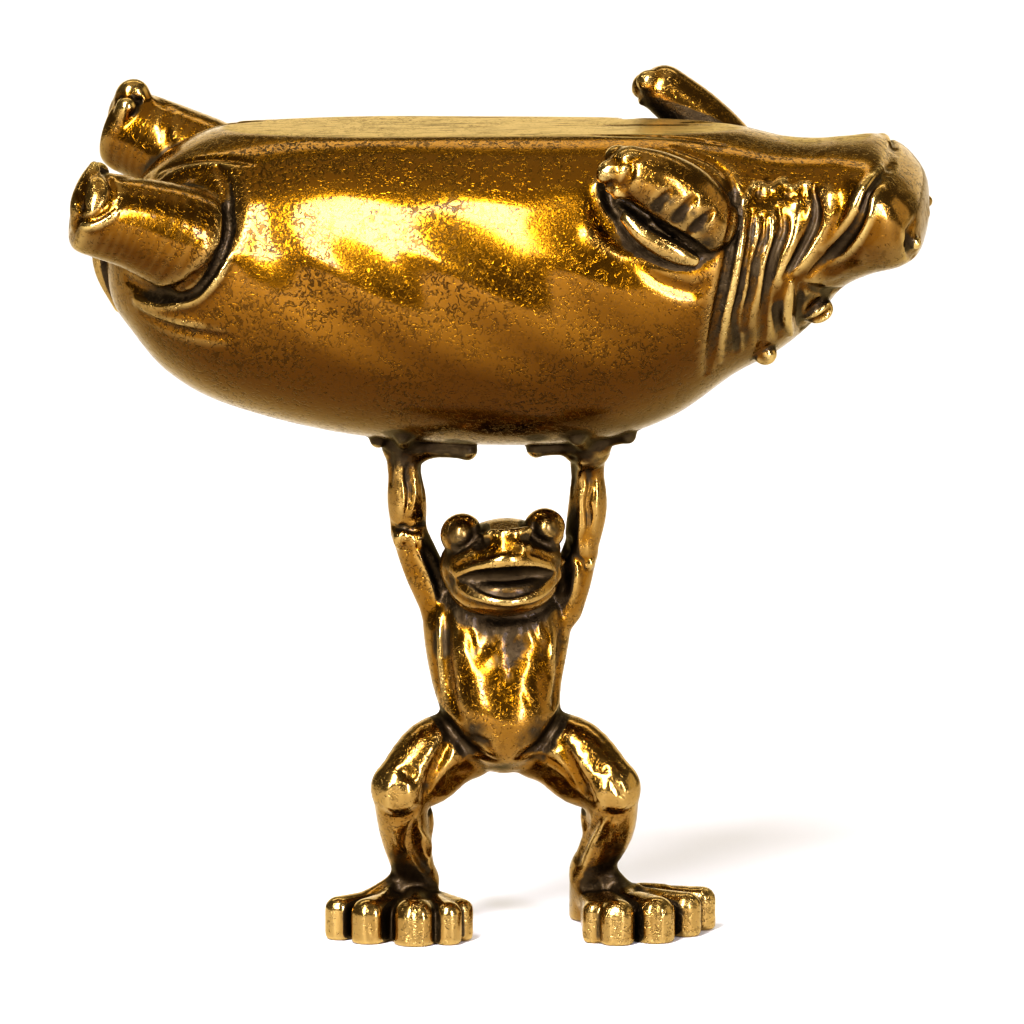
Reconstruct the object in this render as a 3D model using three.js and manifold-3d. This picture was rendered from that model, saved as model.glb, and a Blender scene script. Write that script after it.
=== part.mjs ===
// Brass figurine cast in one piece: a frog stands on two legs and holds a hippopotamus over its head, belly up
// Millimetres, +Z up: the frog faces -Y, and the hippo's head points to +X
import * as THREE from "three";
import { mergeVertices } from "three/addons/utils/BufferGeometryUtils.js";
import Module from "manifold-3d";

const wasm = await Module();
wasm.setup();

const degrees = THREE.MathUtils.degToRad;
const vec = (place) => new THREE.Vector3(...place);

// The middle of the outline over the floor, so that the part stands over its origin
const middle = { x: 0.05, y: -0.02 };

// The hippo's own frame: x to its head, v across with its near side negative, w up to its belly
const hippo = {
  axisHeight: 34.4,
  roll: 9, // belly turned to the front, in degrees
  yaw: 6, // head turned to the front, in degrees
  flatHeight: 8.12, // level flat filed along the belly, over the axis
  flatRise: 0.016, // and its rise to the head for each millimetre
};

// The body's sections: place along it, belly, back, half width, and squareness on its belly's and back's side
const sections = [
  [-20.75, 1.0, 1.0, 0.0, 2.1, 2.1],
  [-20.3, 3.0, -1.2, 2.6, 2.1, 2.1],
  [-19.2, 4.9, -2.75, 4.7, 2.1, 2.1],
  [-17.2, 6.8, -4.95, 6.5, 2.1, 2.1],
  [-14.0, 8.0, -6.55, 8.0, 2.15, 2.1],
  [-8.0, 8.75, -7.95, 8.9, 2.2, 2.1],
  [-1.0, 8.8, -8.45, 9.1, 2.2, 2.1],
  [5.0, 8.8, -8.15, 8.8, 2.2, 2.1],
  [9.0, 8.7, -6.9, 8.0, 2.2, 2.0],
  [12.3, 8.25, -4.55, 6.8, 2.2, 2.0],
  [14.6, 7.75, -3.3, 5.9, 2.3, 1.9],
  [16.4, 7.65, -1.8, 5.2, 2.4, 1.7],
  [17.9, 7.75, 0.05, 4.8, 2.5, 1.8],
  [19.6, 7.65, 1.2, 5.3, 2.7, 2.3],
  [21.2, 6.6, 1.75, 4.9, 2.7, 2.5],
  [22.1, 5.6, 2.45, 3.4, 2.5, 2.5],
  [22.45, 4.0, 4.0, 0.0, 2.3, 2.3],
];

// Its legs as x, v and w, with v counted outwards on either side: near is the side with the viewer
const hippoLegs = {
  front: {
    near: {
      places: [[11.3, 6.0, 5.3], [10.3, 6.35, 6.5], [9.0, 6.7, 7.5], [7.6, 6.9, 8.2]],
      radii: [1.75, 1.85, 1.66, 1.32],
    },
    far: {
      places: [[12.0, 6.0, 4.4], [11.0, 6.5, 5.7], [9.6, 6.8, 7.1], [8.0, 6.9, 8.45]],
      radii: [1.7, 1.6, 1.48, 1.3],
    },
    // From the end of the leg
    toes: [[-0.7, -0.5, 0.6], [-0.85, 0.55, 0.15], [-0.55, 0.5, -0.65]],
    toeRadii: [0.72, 0.62, 0.6],
  },
  hind: {
    places: [[-13.8, 5.1, 2.3], [-15.6, 5.8, 3.6], [-18.0, 6.6, 4.8], [-20.3, 7.4, 5.6]],
    radii: [2.8, 2.85, 2.45, 2.1],
    toes: [[-20.3, 7.1, 7.4], [-20.6, 8.0, 6.0], [-20.6, 7.0, 4.6]],
    toeRadii: [0.9, 0.95, 1.0],
  },
};

// Places on its skin, as x, angle and lift off the skin
const hippoHead = {
  ear: { place: [14.1, 146, 0.12], radii: [0.66, 0.62, 0.7] },
  eye: { place: [16.8, 143, 0.1], radii: [0.85, 0.78, 0.78] },
  nostril: { place: [21.7, 100, 0], radii: [0.55, 0.7, 0.7] },
  nostrilHollow: { place: [22.0, 94, 0.35], radii: [0.45, 0.3, 0.35] },
  // x, angle and radius along the mouth, the cheek and the folds of the neck
  grooves: [
    [[20.35, 14, 0.2], [19.3, 55, 0.3], [18.4, 84, 0.5], [15.9, 98, 0.25]],
    [[16.7, 42, 0.2], [16.8, 67, 0.4], [15.1, 89, 0.2]],
    [[14.7, 50, 0.25], [14.5, 82, 0.4], [13.4, 120, 0.25]],
    [[13.0, 41, 0.25], [12.5, 80, 0.4], [11.2, 126, 0.25]],
  ],
  chin: { x: 20.4, angles: [14, 0, -14], lift: 0.1, radius: 0.2 },
};
const hippoSkin = {
  thighRing: {
    path: [[-13.3, 40, 0.3], [-13.0, 60, 0.62], [-14.4, 82, 0.58], [-16.5, 95, 0.3]],
    lift: -0.25,
  },
  frontRoll: {
    path: [[7.2, 54, 0.4], [9.2, 67, 0.6], [10.9, 75, 0.38]],
    lift: 0.1,
  },
  tail: {
    places: [[-20.4, 0, 3.2], [-20.7, 0, 1.6], [-20.6, 0, 0.2], [-19.8, 0, -1.6]],
    radii: [0.5, 0.55, 0.5, 0.35],
  },
};

const hippoFrame = new THREE.Matrix4()
  .makeTranslation(0, 0, hippo.axisHeight)
  .multiply(new THREE.Matrix4().makeRotationZ(-degrees(hippo.yaw)))
  .multiply(new THREE.Matrix4().makeRotationX(degrees(hippo.roll)));

// Joining and cutting

// A solid of a closed three.js geometry
function solid(geometry) {
  geometry.deleteAttribute("normal");
  geometry.deleteAttribute("uv");
  const merged = mergeVertices(geometry, 1e-4);
  return new wasm.Manifold(
    new wasm.Mesh({
      numProp: 3,
      vertProperties: merged.attributes.position.array,
      triVerts: new Uint32Array(merged.index.array),
    }),
  );
}

const joined = (solids) => solids.reduce((whole, piece) => whole.add(piece));

// Forms

// Values between the rows of a table by a smooth curve through them, at a place that counts rows
function smooth(rows, place) {
  const row = Math.min(Math.floor(place), rows.length - 2);
  const f = place - row;
  const b = rows[row];
  const c = rows[row + 1];
  const a = rows[row - 1] ?? b.map((value, i) => 2 * value - c[i]);
  const d = rows[row + 2] ?? c.map((value, i) => 2 * value - b[i]);
  return b.map(
    (value, i) =>
      0.5 *
      (2 * value +
        (c[i] - a[i]) * f +
        (2 * a[i] - 5 * value + 4 * c[i] - d[i]) * f * f +
        (3 * value - a[i] - 3 * c[i] + d[i]) * f * f * f),
  );
}

// A closed skin over rings of equally many points that run anticlockwise seen from the last ring
function skinOver(first, rings, last) {
  const sides = rings[0].length;
  const points = [first, ...rings.flat(), last];
  const faces = [];
  const at = (ring, side) => 1 + ring * sides + (side % sides);
  for (let side = 0; side < sides; side++) {
    faces.push(0, at(0, side + 1), at(0, side));
    for (let ring = 0; ring + 1 < rings.length; ring++) {
      faces.push(at(ring, side), at(ring, side + 1), at(ring + 1, side));
      faces.push(at(ring, side + 1), at(ring + 1, side + 1), at(ring + 1, side));
    }
    const end = rings.length - 1;
    faces.push(at(end, side), at(end, side + 1), points.length - 1);
  }
  const geometry = new THREE.BufferGeometry().setFromPoints(points);
  geometry.setIndex(faces);
  return geometry;
}

// A round limb along a smooth path, as thick as the radii at its places say, with domed ends;
// dome is their height as a share of the end's radius, and tall stretches the sections upwards
function limb(places, radii, { sides = 8, steps = 2, dome = 1, tall = 1 } = {}) {
  const curve = new THREE.CatmullRomCurve3(places.map(vec), false, "centripetal");
  const count = (places.length - 1) * steps;
  const around = curve.getTangent(0).cross(vec([0.31, 0.9, 0.29])).normalize();
  const ring = (centre, along, radius) => {
    around.addScaledVector(along, -around.dot(along)).normalize();
    const across = along.clone().cross(around);
    return Array.from({ length: sides }, (_, side) => {
      const angle = (2 * Math.PI * side) / sides;
      const spoke = around
        .clone()
        .multiplyScalar(radius * Math.cos(angle))
        .addScaledVector(across, radius * Math.sin(angle));
      spoke.z *= tall;
      return spoke.add(centre);
    });
  };
  const rings = [];
  const tilts = sides > 9 ? [28, 60] : [45];
  const beyond = (t, reach) => curve.getPoint(t).addScaledVector(curve.getTangent(t), reach * dome);
  const domed = (t, radius, way) =>
    tilts.map((tilt) => {
      const centre = beyond(t, way * radius * Math.sin(degrees(tilt)));
      return ring(centre, curve.getTangent(t), radius * Math.cos(degrees(tilt)));
    });
  rings.push(...domed(0, radii[0], -1).reverse());
  for (let i = 0; i <= count; i++) {
    const t = i / count;
    const [radius] = smooth(radii.map((value) => [value]), t * (radii.length - 1));
    rings.push(ring(curve.getPoint(t), curve.getTangent(t), radius));
  }
  rings.push(...domed(1, radii.at(-1), 1));
  return skinOver(beyond(0, -radii[0]), rings, beyond(1, radii.at(-1)));
}

// A squashed ball, turned in degrees round its own X, Y and Z
function ball(place, radii, turn = [0, 0, 0], sides = 10) {
  const geometry = new THREE.SphereGeometry(1, sides, Math.max(4, Math.round(sides * 0.6)));
  geometry.scale(...radii);
  geometry.applyMatrix4(
    new THREE.Matrix4().makeRotationFromEuler(new THREE.Euler(...turn.map(degrees), "ZYX")),
  );
  geometry.translate(...place);
  return geometry;
}

// The hippo's skin

// A ring of the body: the angle runs from its belly over its near side, which is 90, to its back, which is 180
function skinPoint(section, angle, lift = 0) {
  const [x, belly, back, halfWidth, bellySquare, backSquare] = section;
  const sine = Math.sin(degrees(angle));
  const cosine = Math.cos(degrees(angle));
  const power = 2 / (cosine > 0 ? bellySquare : backSquare);
  const halfHeight = (belly - back) / 2 + lift;
  const v = -(halfWidth + lift) * Math.sign(sine) * Math.abs(sine) ** power;
  const w = (belly + back) / 2 + halfHeight * Math.sign(cosine) * Math.abs(cosine) ** power;
  const roll = degrees(hippo.roll);
  const flat = (hippo.flatHeight + hippo.flatRise * x - v * Math.sin(roll)) / Math.cos(roll);
  return [x, v, Math.min(w, flat + lift)];
}

// The section at a place along the body
function sectionAt(x) {
  const step = 0.02;
  let place = 0;
  while (place < sections.length - 1 && smooth(sections, place)[0] < x) place += step;
  return [x, ...smooth(sections, place).slice(1)];
}

const onHippo = (x, angle, lift = 0) => skinPoint(sectionAt(x), angle, lift);

function hippoBody() {
  const ringCount = 24;
  const sides = 22;
  const rings = [];
  for (let i = 1; i < ringCount; i++) {
    const section = smooth(sections, ((sections.length - 1) * i) / ringCount);
    rings.push(
      Array.from({ length: sides }, (_, side) => vec(skinPoint(section, (360 * (side + 0.5)) / sides))),
    );
  }
  const end = ([x, belly]) => vec([x, 0, belly]);
  return skinOver(end(sections[0]), rings, end(sections.at(-1)));
}

// A thin limb along the skin, for a fold or a ridge, through places of x, angle and radius on one side
function fold(places, side, lift = 0) {
  const stepsPerPlace = 2;
  const count = (places.length - 1) * stepsPerPlace;
  const samples = Array.from({ length: count + 1 }, (_, i) => smooth(places, i / stepsPerPlace));
  const path = samples.map(([x, angle]) => onHippo(x, side * angle, lift));
  const radii = samples.map(([, , radius]) => radius);
  return limb(path, radii, { sides: 4, steps: 1 });
}

// The hippo, in its own frame

// Side is 1 for the near one and -1 for the far one
const outwards = (side, [x, v, w]) => [x, -side * v, w];

function hippoLegForms(side) {
  const { front, hind } = hippoLegs;
  const { places, radii } = side > 0 ? front.near : front.far;
  const end = places.at(-1);
  const frontToes = front.toes.map((toe) => toe.map((value, i) => value + end[i]));
  const frontLeg = places.map((place) => outwards(side, place));
  const hindLeg = hind.places.map((place) => outwards(side, place));
  return [
    limb(frontLeg, radii, { steps: 1, dome: 0.7 }),
    ...frontToes.map((toe) => ball(outwards(side, toe), front.toeRadii, [0, 0, 0], 6)),
    limb(hindLeg, hind.radii, { sides: 10, steps: 1, dome: 0.3 }),
    ...hind.toes.map((toe) => ball(outwards(side, toe), hind.toeRadii, [0, 0, 0], 7)),
  ];
}

const headBall = ({ place: [x, angle, lift], radii }, side, sides) =>
  ball(onHippo(x, side * angle, lift), radii, [0, 0, 0], sides);

function hippoSolid() {
  const { ear, eye, nostril, nostrilHollow, grooves, chin } = hippoHead;
  const { thighRing, frontRoll, tail } = hippoSkin;
  const forms = [hippoBody(), limb(tail.places, tail.radii, { sides: 6, steps: 1 })];
  // The gap of the mouth runs on across the chin
  const chinPath = chin.angles.map((angle) => onHippo(chin.x, angle, chin.lift));
  const cuts = [limb(chinPath, chinPath.map(() => chin.radius), { sides: 5, steps: 1 })];
  for (const side of [1, -1]) {
    forms.push(...hippoLegForms(side));
    forms.push(fold(thighRing.path, side, thighRing.lift), fold(frontRoll.path, side, frontRoll.lift));
    forms.push(headBall(ear, side, 7), headBall(eye, side, 8), headBall(nostril, side, 7));
    cuts.push(headBall(nostrilHollow, side, 6));
    cuts.push(...grooves.map((groove) => fold(groove, side)));
  }
  const placed = (geometry) => solid(geometry.applyMatrix4(hippoFrame));
  return joined(forms.map(placed)).subtract(joined(cuts.map(placed)));
}

// The frog

// Places of the frog, with its right side on the left
const frog = {
  left: {
    hip: [-1.9, 0.2, 9.8],
    knee: [-5.35, -2.6, 7.9],
    calf: [-5.05, -0.9, 5.2],
    ankle: [-4.45, 0.4, 2.6],
    shoulder: [-3.25, 0.4, 17.3],
    upperArm: [-4.15, 0.35, 19.3],
    elbow: [-4.85, 0.25, 21.1],
    forearm: [-4.95, 0.1, 22.8],
    wrist: [-5.1, 0, 24.7],
    toes: [
      { tip: [-8.5, -2.75], radius: 0.76, base: [-5.5, 0.3] },
      { tip: [-6.95, -3.8], radius: 0.93, base: [-5.0, 0.0] },
      { tip: [-4.55, -4.3], radius: 1.12, base: [-4.5, -0.2] },
      { tip: [-2.78, -4.25], radius: 0.76, base: [-4.1, 0.0] },
      { tip: [-2.1, -3.2], radius: 0.64, base: [-3.9, 0.4] },
    ],
    heel: [-4.35, 3.2],
    palm: [-5.0, 170],
    fingers: [
      { tip: [-1.75, 169], radius: 0.46, lift: 0.4 },
      { tip: [-4.75, 147], radius: 0.36, lift: 0 },
      { tip: [-6.3, 163], radius: 0.4, lift: 0.1 },
      { tip: [-5.0, 196], radius: 0.42, lift: 0.05 },
    ],
  },
  right: {
    hip: [2.0, 0.2, 9.8],
    knee: [5.8, -2.6, 7.9],
    calf: [5.65, -0.9, 5.5],
    ankle: [4.7, 0.7, 3.1],
    shoulder: [3.2, 0.4, 17.1],
    upperArm: [3.65, 0.35, 18.5],
    elbow: [4.1, 0.25, 20.0],
    forearm: [4.5, 0.1, 22.4],
    wrist: [4.5, 0, 24.6],
    toes: [
      { tip: [4.85, -3.75], radius: 0.64, base: [4.7, 0.6] },
      { tip: [6.05, -4.2], radius: 0.93, base: [5.0, 0.4] },
      { tip: [8.05, -3.5], radius: 1.03, base: [5.6, 0.4] },
      { tip: [9.65, -1.75], radius: 0.82, base: [6.0, 0.7] },
      { tip: [10.5, 0.1], radius: 0.76, base: [6.2, 1.1] },
    ],
    heel: [4.5, 3.3],
    palm: [4.55, 171],
    fingers: [
      { tip: [1.9, 168], radius: 0.44, lift: 0.22 },
      { tip: [4.35, 147], radius: 0.36, lift: 0 },
      { tip: [6.75, 164], radius: 0.4, lift: 0.1 },
      { tip: [4.7, 197], radius: 0.42, lift: 0.05 },
    ],
  },
  toeHeight: 2.4, // of the widest toe
  widestToe: 1.12,
  toeTaper: 0.45, // how much lower a toe is for each millimetre of its radius
  toeCore: 0.9, // height of the middle of a toe
  webHeight: 1.75,
  webShare: 0.9, // of the way from the base of a toe to its tip
  instepHeight: 2.9,
  heelTop: 1.1,
};

// The frog's head, a little higher on the right
const frogHead = {
  tilt: [0, -4, 0],
  skull: { place: [0.05, -1.65, 19.7], radii: [3.3, 3.1, 2.35] },
  jaw: { place: [0.1, -2.2, 18.5], radii: [2.75, 2.75, 1.5] },
  crown: { place: [0.25, -2.0, 21.05], radii: [1.6, 1.9, 0.95] },
  // The ledge that ends the flat top of the head, and the slope down to the upper lip
  ledge: { places: [[-0.75, -3.75, 21.35], [0.28, -4.0, 21.45], [1.35, -3.75, 21.6]], radii: [0.36, 0.42, 0.36] },
  snout: { place: [0.27, -3.75, 20.75], radii: [1.5, 1.05, 0.9] },
  // The lips' middle and half width, their reach forwards, and how far back they bend at the corners
  lips: { x: 0.1, halfWidth: 2.75, shares: [-1, -0.55, 0, 0.55, 1], reach: -4.75, bend: 2.6, rise: 0.19 },
  upperLip: [19.6, 20.05, 20.35, 20.1, 19.65],
  lowerLip: [18.95, 18.4, 18.15, 18.42, 19.0],
  lipRadii: [0.3, 0.4, 0.44, 0.4, 0.3],
  mouth: {
    places: [[-2.4, -2.75, 19], [-1.1, -4.2, 19.1], [0.3, -4.75, 19.2], [1.7, -4.1, 19.3], [2.85, -2.5, 19.35]],
    radii: [0.12, 0.5, 0.85, 0.55, 0.12],
  },
  tongue: {
    places: [[-1.75, -3.2, 19], [-0.7, -3.9, 18.6], [0.3, -4.05, 18.55], [1.4, -3.7, 18.75], [2.0, -3.1, 19.1]],
    radii: [0.3, 0.5, 0.56, 0.48, 0.3],
  },
  eyes: [
    { place: [-2.05, -2.4, 21.35], radii: [1.14, 1.08, 1.14] },
    { place: [2.25, -2.3, 21.65], radii: [1.1, 1.04, 1.1] },
  ],
};
const belly = [
  { place: [0.1, -1.35, 11.7], radii: [2.6, 2.1, 2.3] },
  { place: [0.2, -1.75, 10.9], radii: [2.0, 1.6, 1.7] },
];

// Trunk sections from the crotch to the neck: height, middle x and y, half width and half depth
const trunkSections = [
  [8.5, 0.1, -0.4, 0.0, 0.0],
  [8.9, 0.1, -0.5, 1.4, 1.1],
  [10.0, 0.1, -0.7, 2.5, 2.1],
  [11.6, -0.05, -0.6, 3.05, 2.65],
  [13.2, -0.25, -0.2, 3.4, 2.75],
  [15.4, -0.25, 0.1, 3.8, 2.6],
  [16.8, -0.18, 0.3, 3.85, 2.4],
  [18.0, -0.1, 0.4, 3.0, 2.1],
  [19.0, 0.0, 0.4, 1.7, 1.6],
  [19.5, 0.0, 0.4, 0.0, 0.0],
];

function trunk() {
  const sides = 14;
  const rings = trunkSections.slice(1, -1).map(([z, x, y, halfWidth, halfDepth]) =>
    Array.from({ length: sides }, (_, side) => {
      const angle = (2 * Math.PI * side) / sides;
      return vec([x + halfWidth * Math.cos(angle), y + halfDepth * Math.sin(angle), z]);
    }),
  );
  const end = ([z, x, y]) => vec([x, y, z]);
  return skinOver(end(trunkSections[0]), rings, end(trunkSections.at(-1)));
}

function leg({ hip, knee, calf, ankle, heel }) {
  const outward = Math.sign(knee[0]);
  const middleX = (hip[0] + knee[0]) / 2;
  const kneeTop = [knee[0], knee[1], knee[2] + 0.2];
  const bump = (across, forward) => [knee[0] + outward * across, knee[1] - forward, knee[2] - 0.1];
  const thigh = [hip, [middleX, -1.3, 9.65], kneeTop];
  const underThigh = [[hip[0], 0, 9.2], [middleX, -1.2, 8.1], knee];
  const shin = [knee, calf, ankle, [...heel, frog.heelTop]];
  const calfBack = [calf[0] - outward * 0.6, calf[1] + 0.2, calf[2] + 0.4];
  return [
    limb(thigh, [1.85, 1.75, 1.45], { steps: 1 }),
    limb(underThigh, [0.95, 1.2, 1.2], { sides: 7, steps: 1 }),
    limb(shin, [1.45, 1.3, 1.0, 0.85], { steps: 1 }),
    ball(calfBack, [0.75, 0.8, 1.7], [0, 0, 0], 7),
    ball(bump(-0.35, 0.9), [0.5, 0.5, 0.75], [0, 0, 0], 6),
    ball(bump(0.45, 0.8), [0.5, 0.5, 0.75], [0, 0, 0], 6),
  ];
}

function foot({ ankle, heel, toes }) {
  const { instepHeight, toeCore, widestToe, toeHeight, toeTaper, webShare, webHeight } = frog;
  const outward = Math.sign(ankle[0]);
  const instep = [ankle[0] + outward, ankle[1] - 0.4, instepHeight - 0.9];
  const forms = [
    limb([[ankle[0], ankle[1], 2.2], [...heel, 0.9]], [1.1, 0.95], { sides: 7, steps: 1 }),
    ball(instep, [1.9, 1.3, 0.9], [0, 0, 0], 7),
  ];
  for (const { tip, radius, base } of toes) {
    const height = toeHeight - toeTaper * (widestToe - radius);
    const path = [[...tip, toeCore], [...base, toeCore]];
    const tall = (height - toeCore) / radius;
    forms.push(limb(path, [radius, radius * 0.9], { steps: 1, dome: 0.8, tall }));
  }
  const web = new THREE.Shape();
  web.moveTo(...heel);
  for (const { tip, base } of toes) {
    const [x, y] = tip.map((value, i) => value * webShare + base[i] * (1 - webShare));
    web.lineTo(x, y);
  }
  forms.push(new THREE.ExtrudeGeometry(web, { depth: webHeight, bevelEnabled: false }));
  return forms;
}

function arm({ shoulder, upperArm, elbow, forearm, wrist }) {
  const outward = Math.sign(wrist[0]);
  const bump = (across, forward) => [elbow[0] + outward * across, elbow[1] - forward, elbow[2] - 0.33];
  return [
    limb([shoulder, upperArm, elbow], [1.05, 1.05, 0.95], { steps: 1 }),
    limb([elbow, forearm, wrist], [0.9, 1.05, 0.8]),
    ball(bump(-0.35, 0.65), [0.42, 0.42, 0.5], [0, 0, 0], 6),
    ball(bump(0.4, 0.6), [0.42, 0.42, 0.5], [0, 0, 0], 6),
  ];
}

// A palm under the hippo's back, and fingers along its skin, each from the palm to its tip
function hand({ wrist, palm, fingers }) {
  const under = (x, angle, lift) => vec(onHippo(x, angle, lift)).applyMatrix4(hippoFrame).toArray();
  const centre = under(...palm, 0.35);
  const forms = [
    limb([wrist, centre], [0.85, 1.1], { steps: 1 }),
    ball(centre, [1.4, 1.35, 0.6], [0, 0, 0], 8),
  ];
  for (const { tip, radius, lift } of fingers) {
    const between = (share) => palm.map((value, i) => value + (tip[i] - value) * share);
    const path = [0.25, 0.6, 1].map((share) => under(...between(share), lift));
    forms.push(limb(path, [radius * 1.3, radius, radius * 1.15], { sides: 6, steps: 1 }));
  }
  return forms;
}

function lip(heights) {
  const { x, halfWidth, shares, reach, bend, rise } = frogHead.lips;
  const places = shares.map((share, i) => [
    x + halfWidth * share,
    reach + bend * share * share,
    heights[i] + rise * share,
  ]);
  return limb(places, frogHead.lipRadii, { sides: 6, steps: 1 });
}

function head() {
  const { tilt, skull, jaw, crown, ledge, snout, upperLip, lowerLip, mouth, tongue, eyes } = frogHead;
  const forms = [
    ball(skull.place, skull.radii, tilt, 13),
    ball(jaw.place, jaw.radii, tilt, 10),
    ball(crown.place, crown.radii, tilt, 9),
    ball(snout.place, snout.radii, tilt, 9),
    limb(ledge.places, ledge.radii, { sides: 6, steps: 1 }),
    lip(upperLip),
    lip(lowerLip),
    ...eyes.map(({ place, radii }) => ball(place, radii, [0, 0, 0], 9)),
  ];
  const opening = limb(mouth.places, mouth.radii, { steps: 1 });
  const filled = limb(tongue.places, tongue.radii, { sides: 7, steps: 1 });
  return joined(forms.map(solid)).subtract(solid(opening)).add(solid(filled));
}

function frogSolid() {
  const forms = [trunk(), ...belly.map(({ place, radii }) => ball(place, radii))];
  for (const half of [frog.left, frog.right]) {
    forms.push(...leg(half), ...foot(half), ...arm(half), ...hand(half));
  }
  const belowFloor = new THREE.BoxGeometry(60, 60, 4).translate(0, 0, -2);
  return joined([...forms.map(solid), head()]).subtract(solid(belowFloor));
}

// The casting, as one mesh

function meshOf(name, made, material) {
  const { vertProperties, triVerts } = made.getMesh();
  const geometry = new THREE.BufferGeometry();
  geometry.setAttribute("position", new THREE.BufferAttribute(new Float32Array(vertProperties), 3));
  geometry.setIndex(new THREE.BufferAttribute(new Uint32Array(triVerts), 1));
  geometry.computeVertexNormals();
  const mesh = new THREE.Mesh(geometry, material);
  mesh.name = name;
  return mesh;
}

const brass = new THREE.MeshStandardMaterial({ color: 0xa87a1e, roughness: 0.28, metalness: 1 });
const figurine = new THREE.Group();
const casting = meshOf("frog_lifting_hippo", frogSolid().add(hippoSolid()), brass);
casting.position.set(-middle.x, -middle.y, 0);
figurine.add(casting);

export default figurine;
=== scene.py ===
import math
import bpy
import numpy as np
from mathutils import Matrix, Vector


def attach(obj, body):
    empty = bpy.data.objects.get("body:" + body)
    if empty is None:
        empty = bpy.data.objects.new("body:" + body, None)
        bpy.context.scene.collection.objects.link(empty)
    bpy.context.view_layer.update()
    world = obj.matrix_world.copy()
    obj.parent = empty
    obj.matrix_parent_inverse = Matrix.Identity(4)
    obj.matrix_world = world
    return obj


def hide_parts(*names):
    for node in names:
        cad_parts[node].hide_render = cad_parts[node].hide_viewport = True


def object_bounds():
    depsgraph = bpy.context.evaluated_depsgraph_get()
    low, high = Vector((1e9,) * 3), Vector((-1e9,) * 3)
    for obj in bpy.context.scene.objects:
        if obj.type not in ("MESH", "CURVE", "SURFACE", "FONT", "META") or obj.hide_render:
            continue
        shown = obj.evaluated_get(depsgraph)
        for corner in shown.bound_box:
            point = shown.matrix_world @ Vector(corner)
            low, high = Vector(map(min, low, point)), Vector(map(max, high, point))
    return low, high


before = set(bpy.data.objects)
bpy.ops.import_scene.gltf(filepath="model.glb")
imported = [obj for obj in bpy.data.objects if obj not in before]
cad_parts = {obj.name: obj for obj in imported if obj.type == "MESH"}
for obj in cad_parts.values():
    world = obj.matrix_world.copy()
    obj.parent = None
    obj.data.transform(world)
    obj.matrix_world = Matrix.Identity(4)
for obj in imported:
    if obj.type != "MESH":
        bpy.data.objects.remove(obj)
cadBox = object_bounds()
mm = 0.001
print("frame loaded", [round(side / mm, 2) for side in cadBox[1] - cadBox[0]], "mm")

degrees = math.radians

view = {
    "elevation": 9.0,  # degrees above the horizon
    "distance": 1.0,  # metres, for a long lens
    "width": 53.56,  # millimetres of the object across the picture
    "aim": (0.55, 21.91),  # middle of the picture, right of the frog's axis and over its soles
    "sensor": 36.0,
    "nearest": 0.05,  # metres
    "farthest": 20.0,
}
# Marks are read off the picture, in its pixels from the left and from the top
picture = {
    "pixel": 0.0523,  # millimetres of the object in one pixel
    "axis": 501.5,  # pixels from the left edge to the frog's axis
    "soles": 931,  # pixels from the top edge to its soles
    "behind": 11,  # millimetres to both sides of the axis that the camera's lines are followed
}
middle = (0.05, -0.02)  # middle of the outline over the floor, which the casting is centred on

casting = {
    "pitch": 0.12,  # millimetres between the clay's grid points
    "margin": 1.2,
    "triangles": 188000,
    "soleEdge": 0.16,
    "material": "brass",
}
carving = {
    "steps": 6,  # in the curve between two marks
    "gap": 0.35,  # widest gap between the points of a carved line
    "dentLength": 0.01,
    "leastSwell": 0.12,  # of a tapering line at its ends
    "taperedWidth": 0.6,
    "reach": 2.3,  # widths at which a carved line has faded out
}
tiny = 1e-9


# Clay: a grid of distances to the surface, negative inside, that forms are added to and cut from

def smoothMin(a, b, blend):
    near = np.maximum(blend - np.abs(a - b), 0) / blend
    return np.minimum(a, b) - near * near * blend / 4


def smoothMax(a, b, blend):
    return -smoothMin(-a, -b, blend)


def smoothRows(rows, steps):
    # Rows of numbers with a smooth curve laid through them
    rows = np.asarray(rows, float)
    ends = np.vstack([2 * rows[0] - rows[1], rows, 2 * rows[-1] - rows[-2]])
    made = []
    for a, b, c, d in zip(ends, ends[1:], ends[2:], ends[3:]):
        for f in np.arange(steps) / steps:
            made.append(0.5 * (2 * b + (c - a) * f + (2 * a - 5 * b + 4 * c - d) * f * f
                               + (3 * b - a - 3 * c + d) * f ** 3))
    return np.vstack(made + [rows[-1]])


def turnedBy(x=0, y=0, z=0):
    # Columns are the turned axes
    cx, cy, cz = (math.cos(degrees(angle)) for angle in (x, y, z))
    sx, sy, sz = (math.sin(degrees(angle)) for angle in (x, y, z))
    aroundX = np.array([[1, 0, 0], [0, cx, -sx], [0, sx, cx]])
    aroundY = np.array([[cy, 0, sy], [0, 1, 0], [-sy, 0, cy]])
    aroundZ = np.array([[cz, -sz, 0], [sz, cz, 0], [0, 0, 1]])
    return aroundZ @ aroundY @ aroundX


def unit(vector):
    return vector / np.linalg.norm(vector)


def alongPath(planes, points):
    # For each segment of a path, the share of it that lies nearest to each place, and how far, squared
    x, y, z = planes
    for a, b in zip(points, points[1:]):
        axis = b - a
        square = max(float(axis @ axis), tiny)
        px, py, pz = x - a[0], y - a[1], z - a[2]
        share = np.clip((px * axis[0] + py * axis[1] + pz * axis[2]) / square, 0, 1)
        yield share, (px - share * axis[0]) ** 2 + (py - share * axis[1]) ** 2 + (pz - share * axis[2]) ** 2


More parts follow.
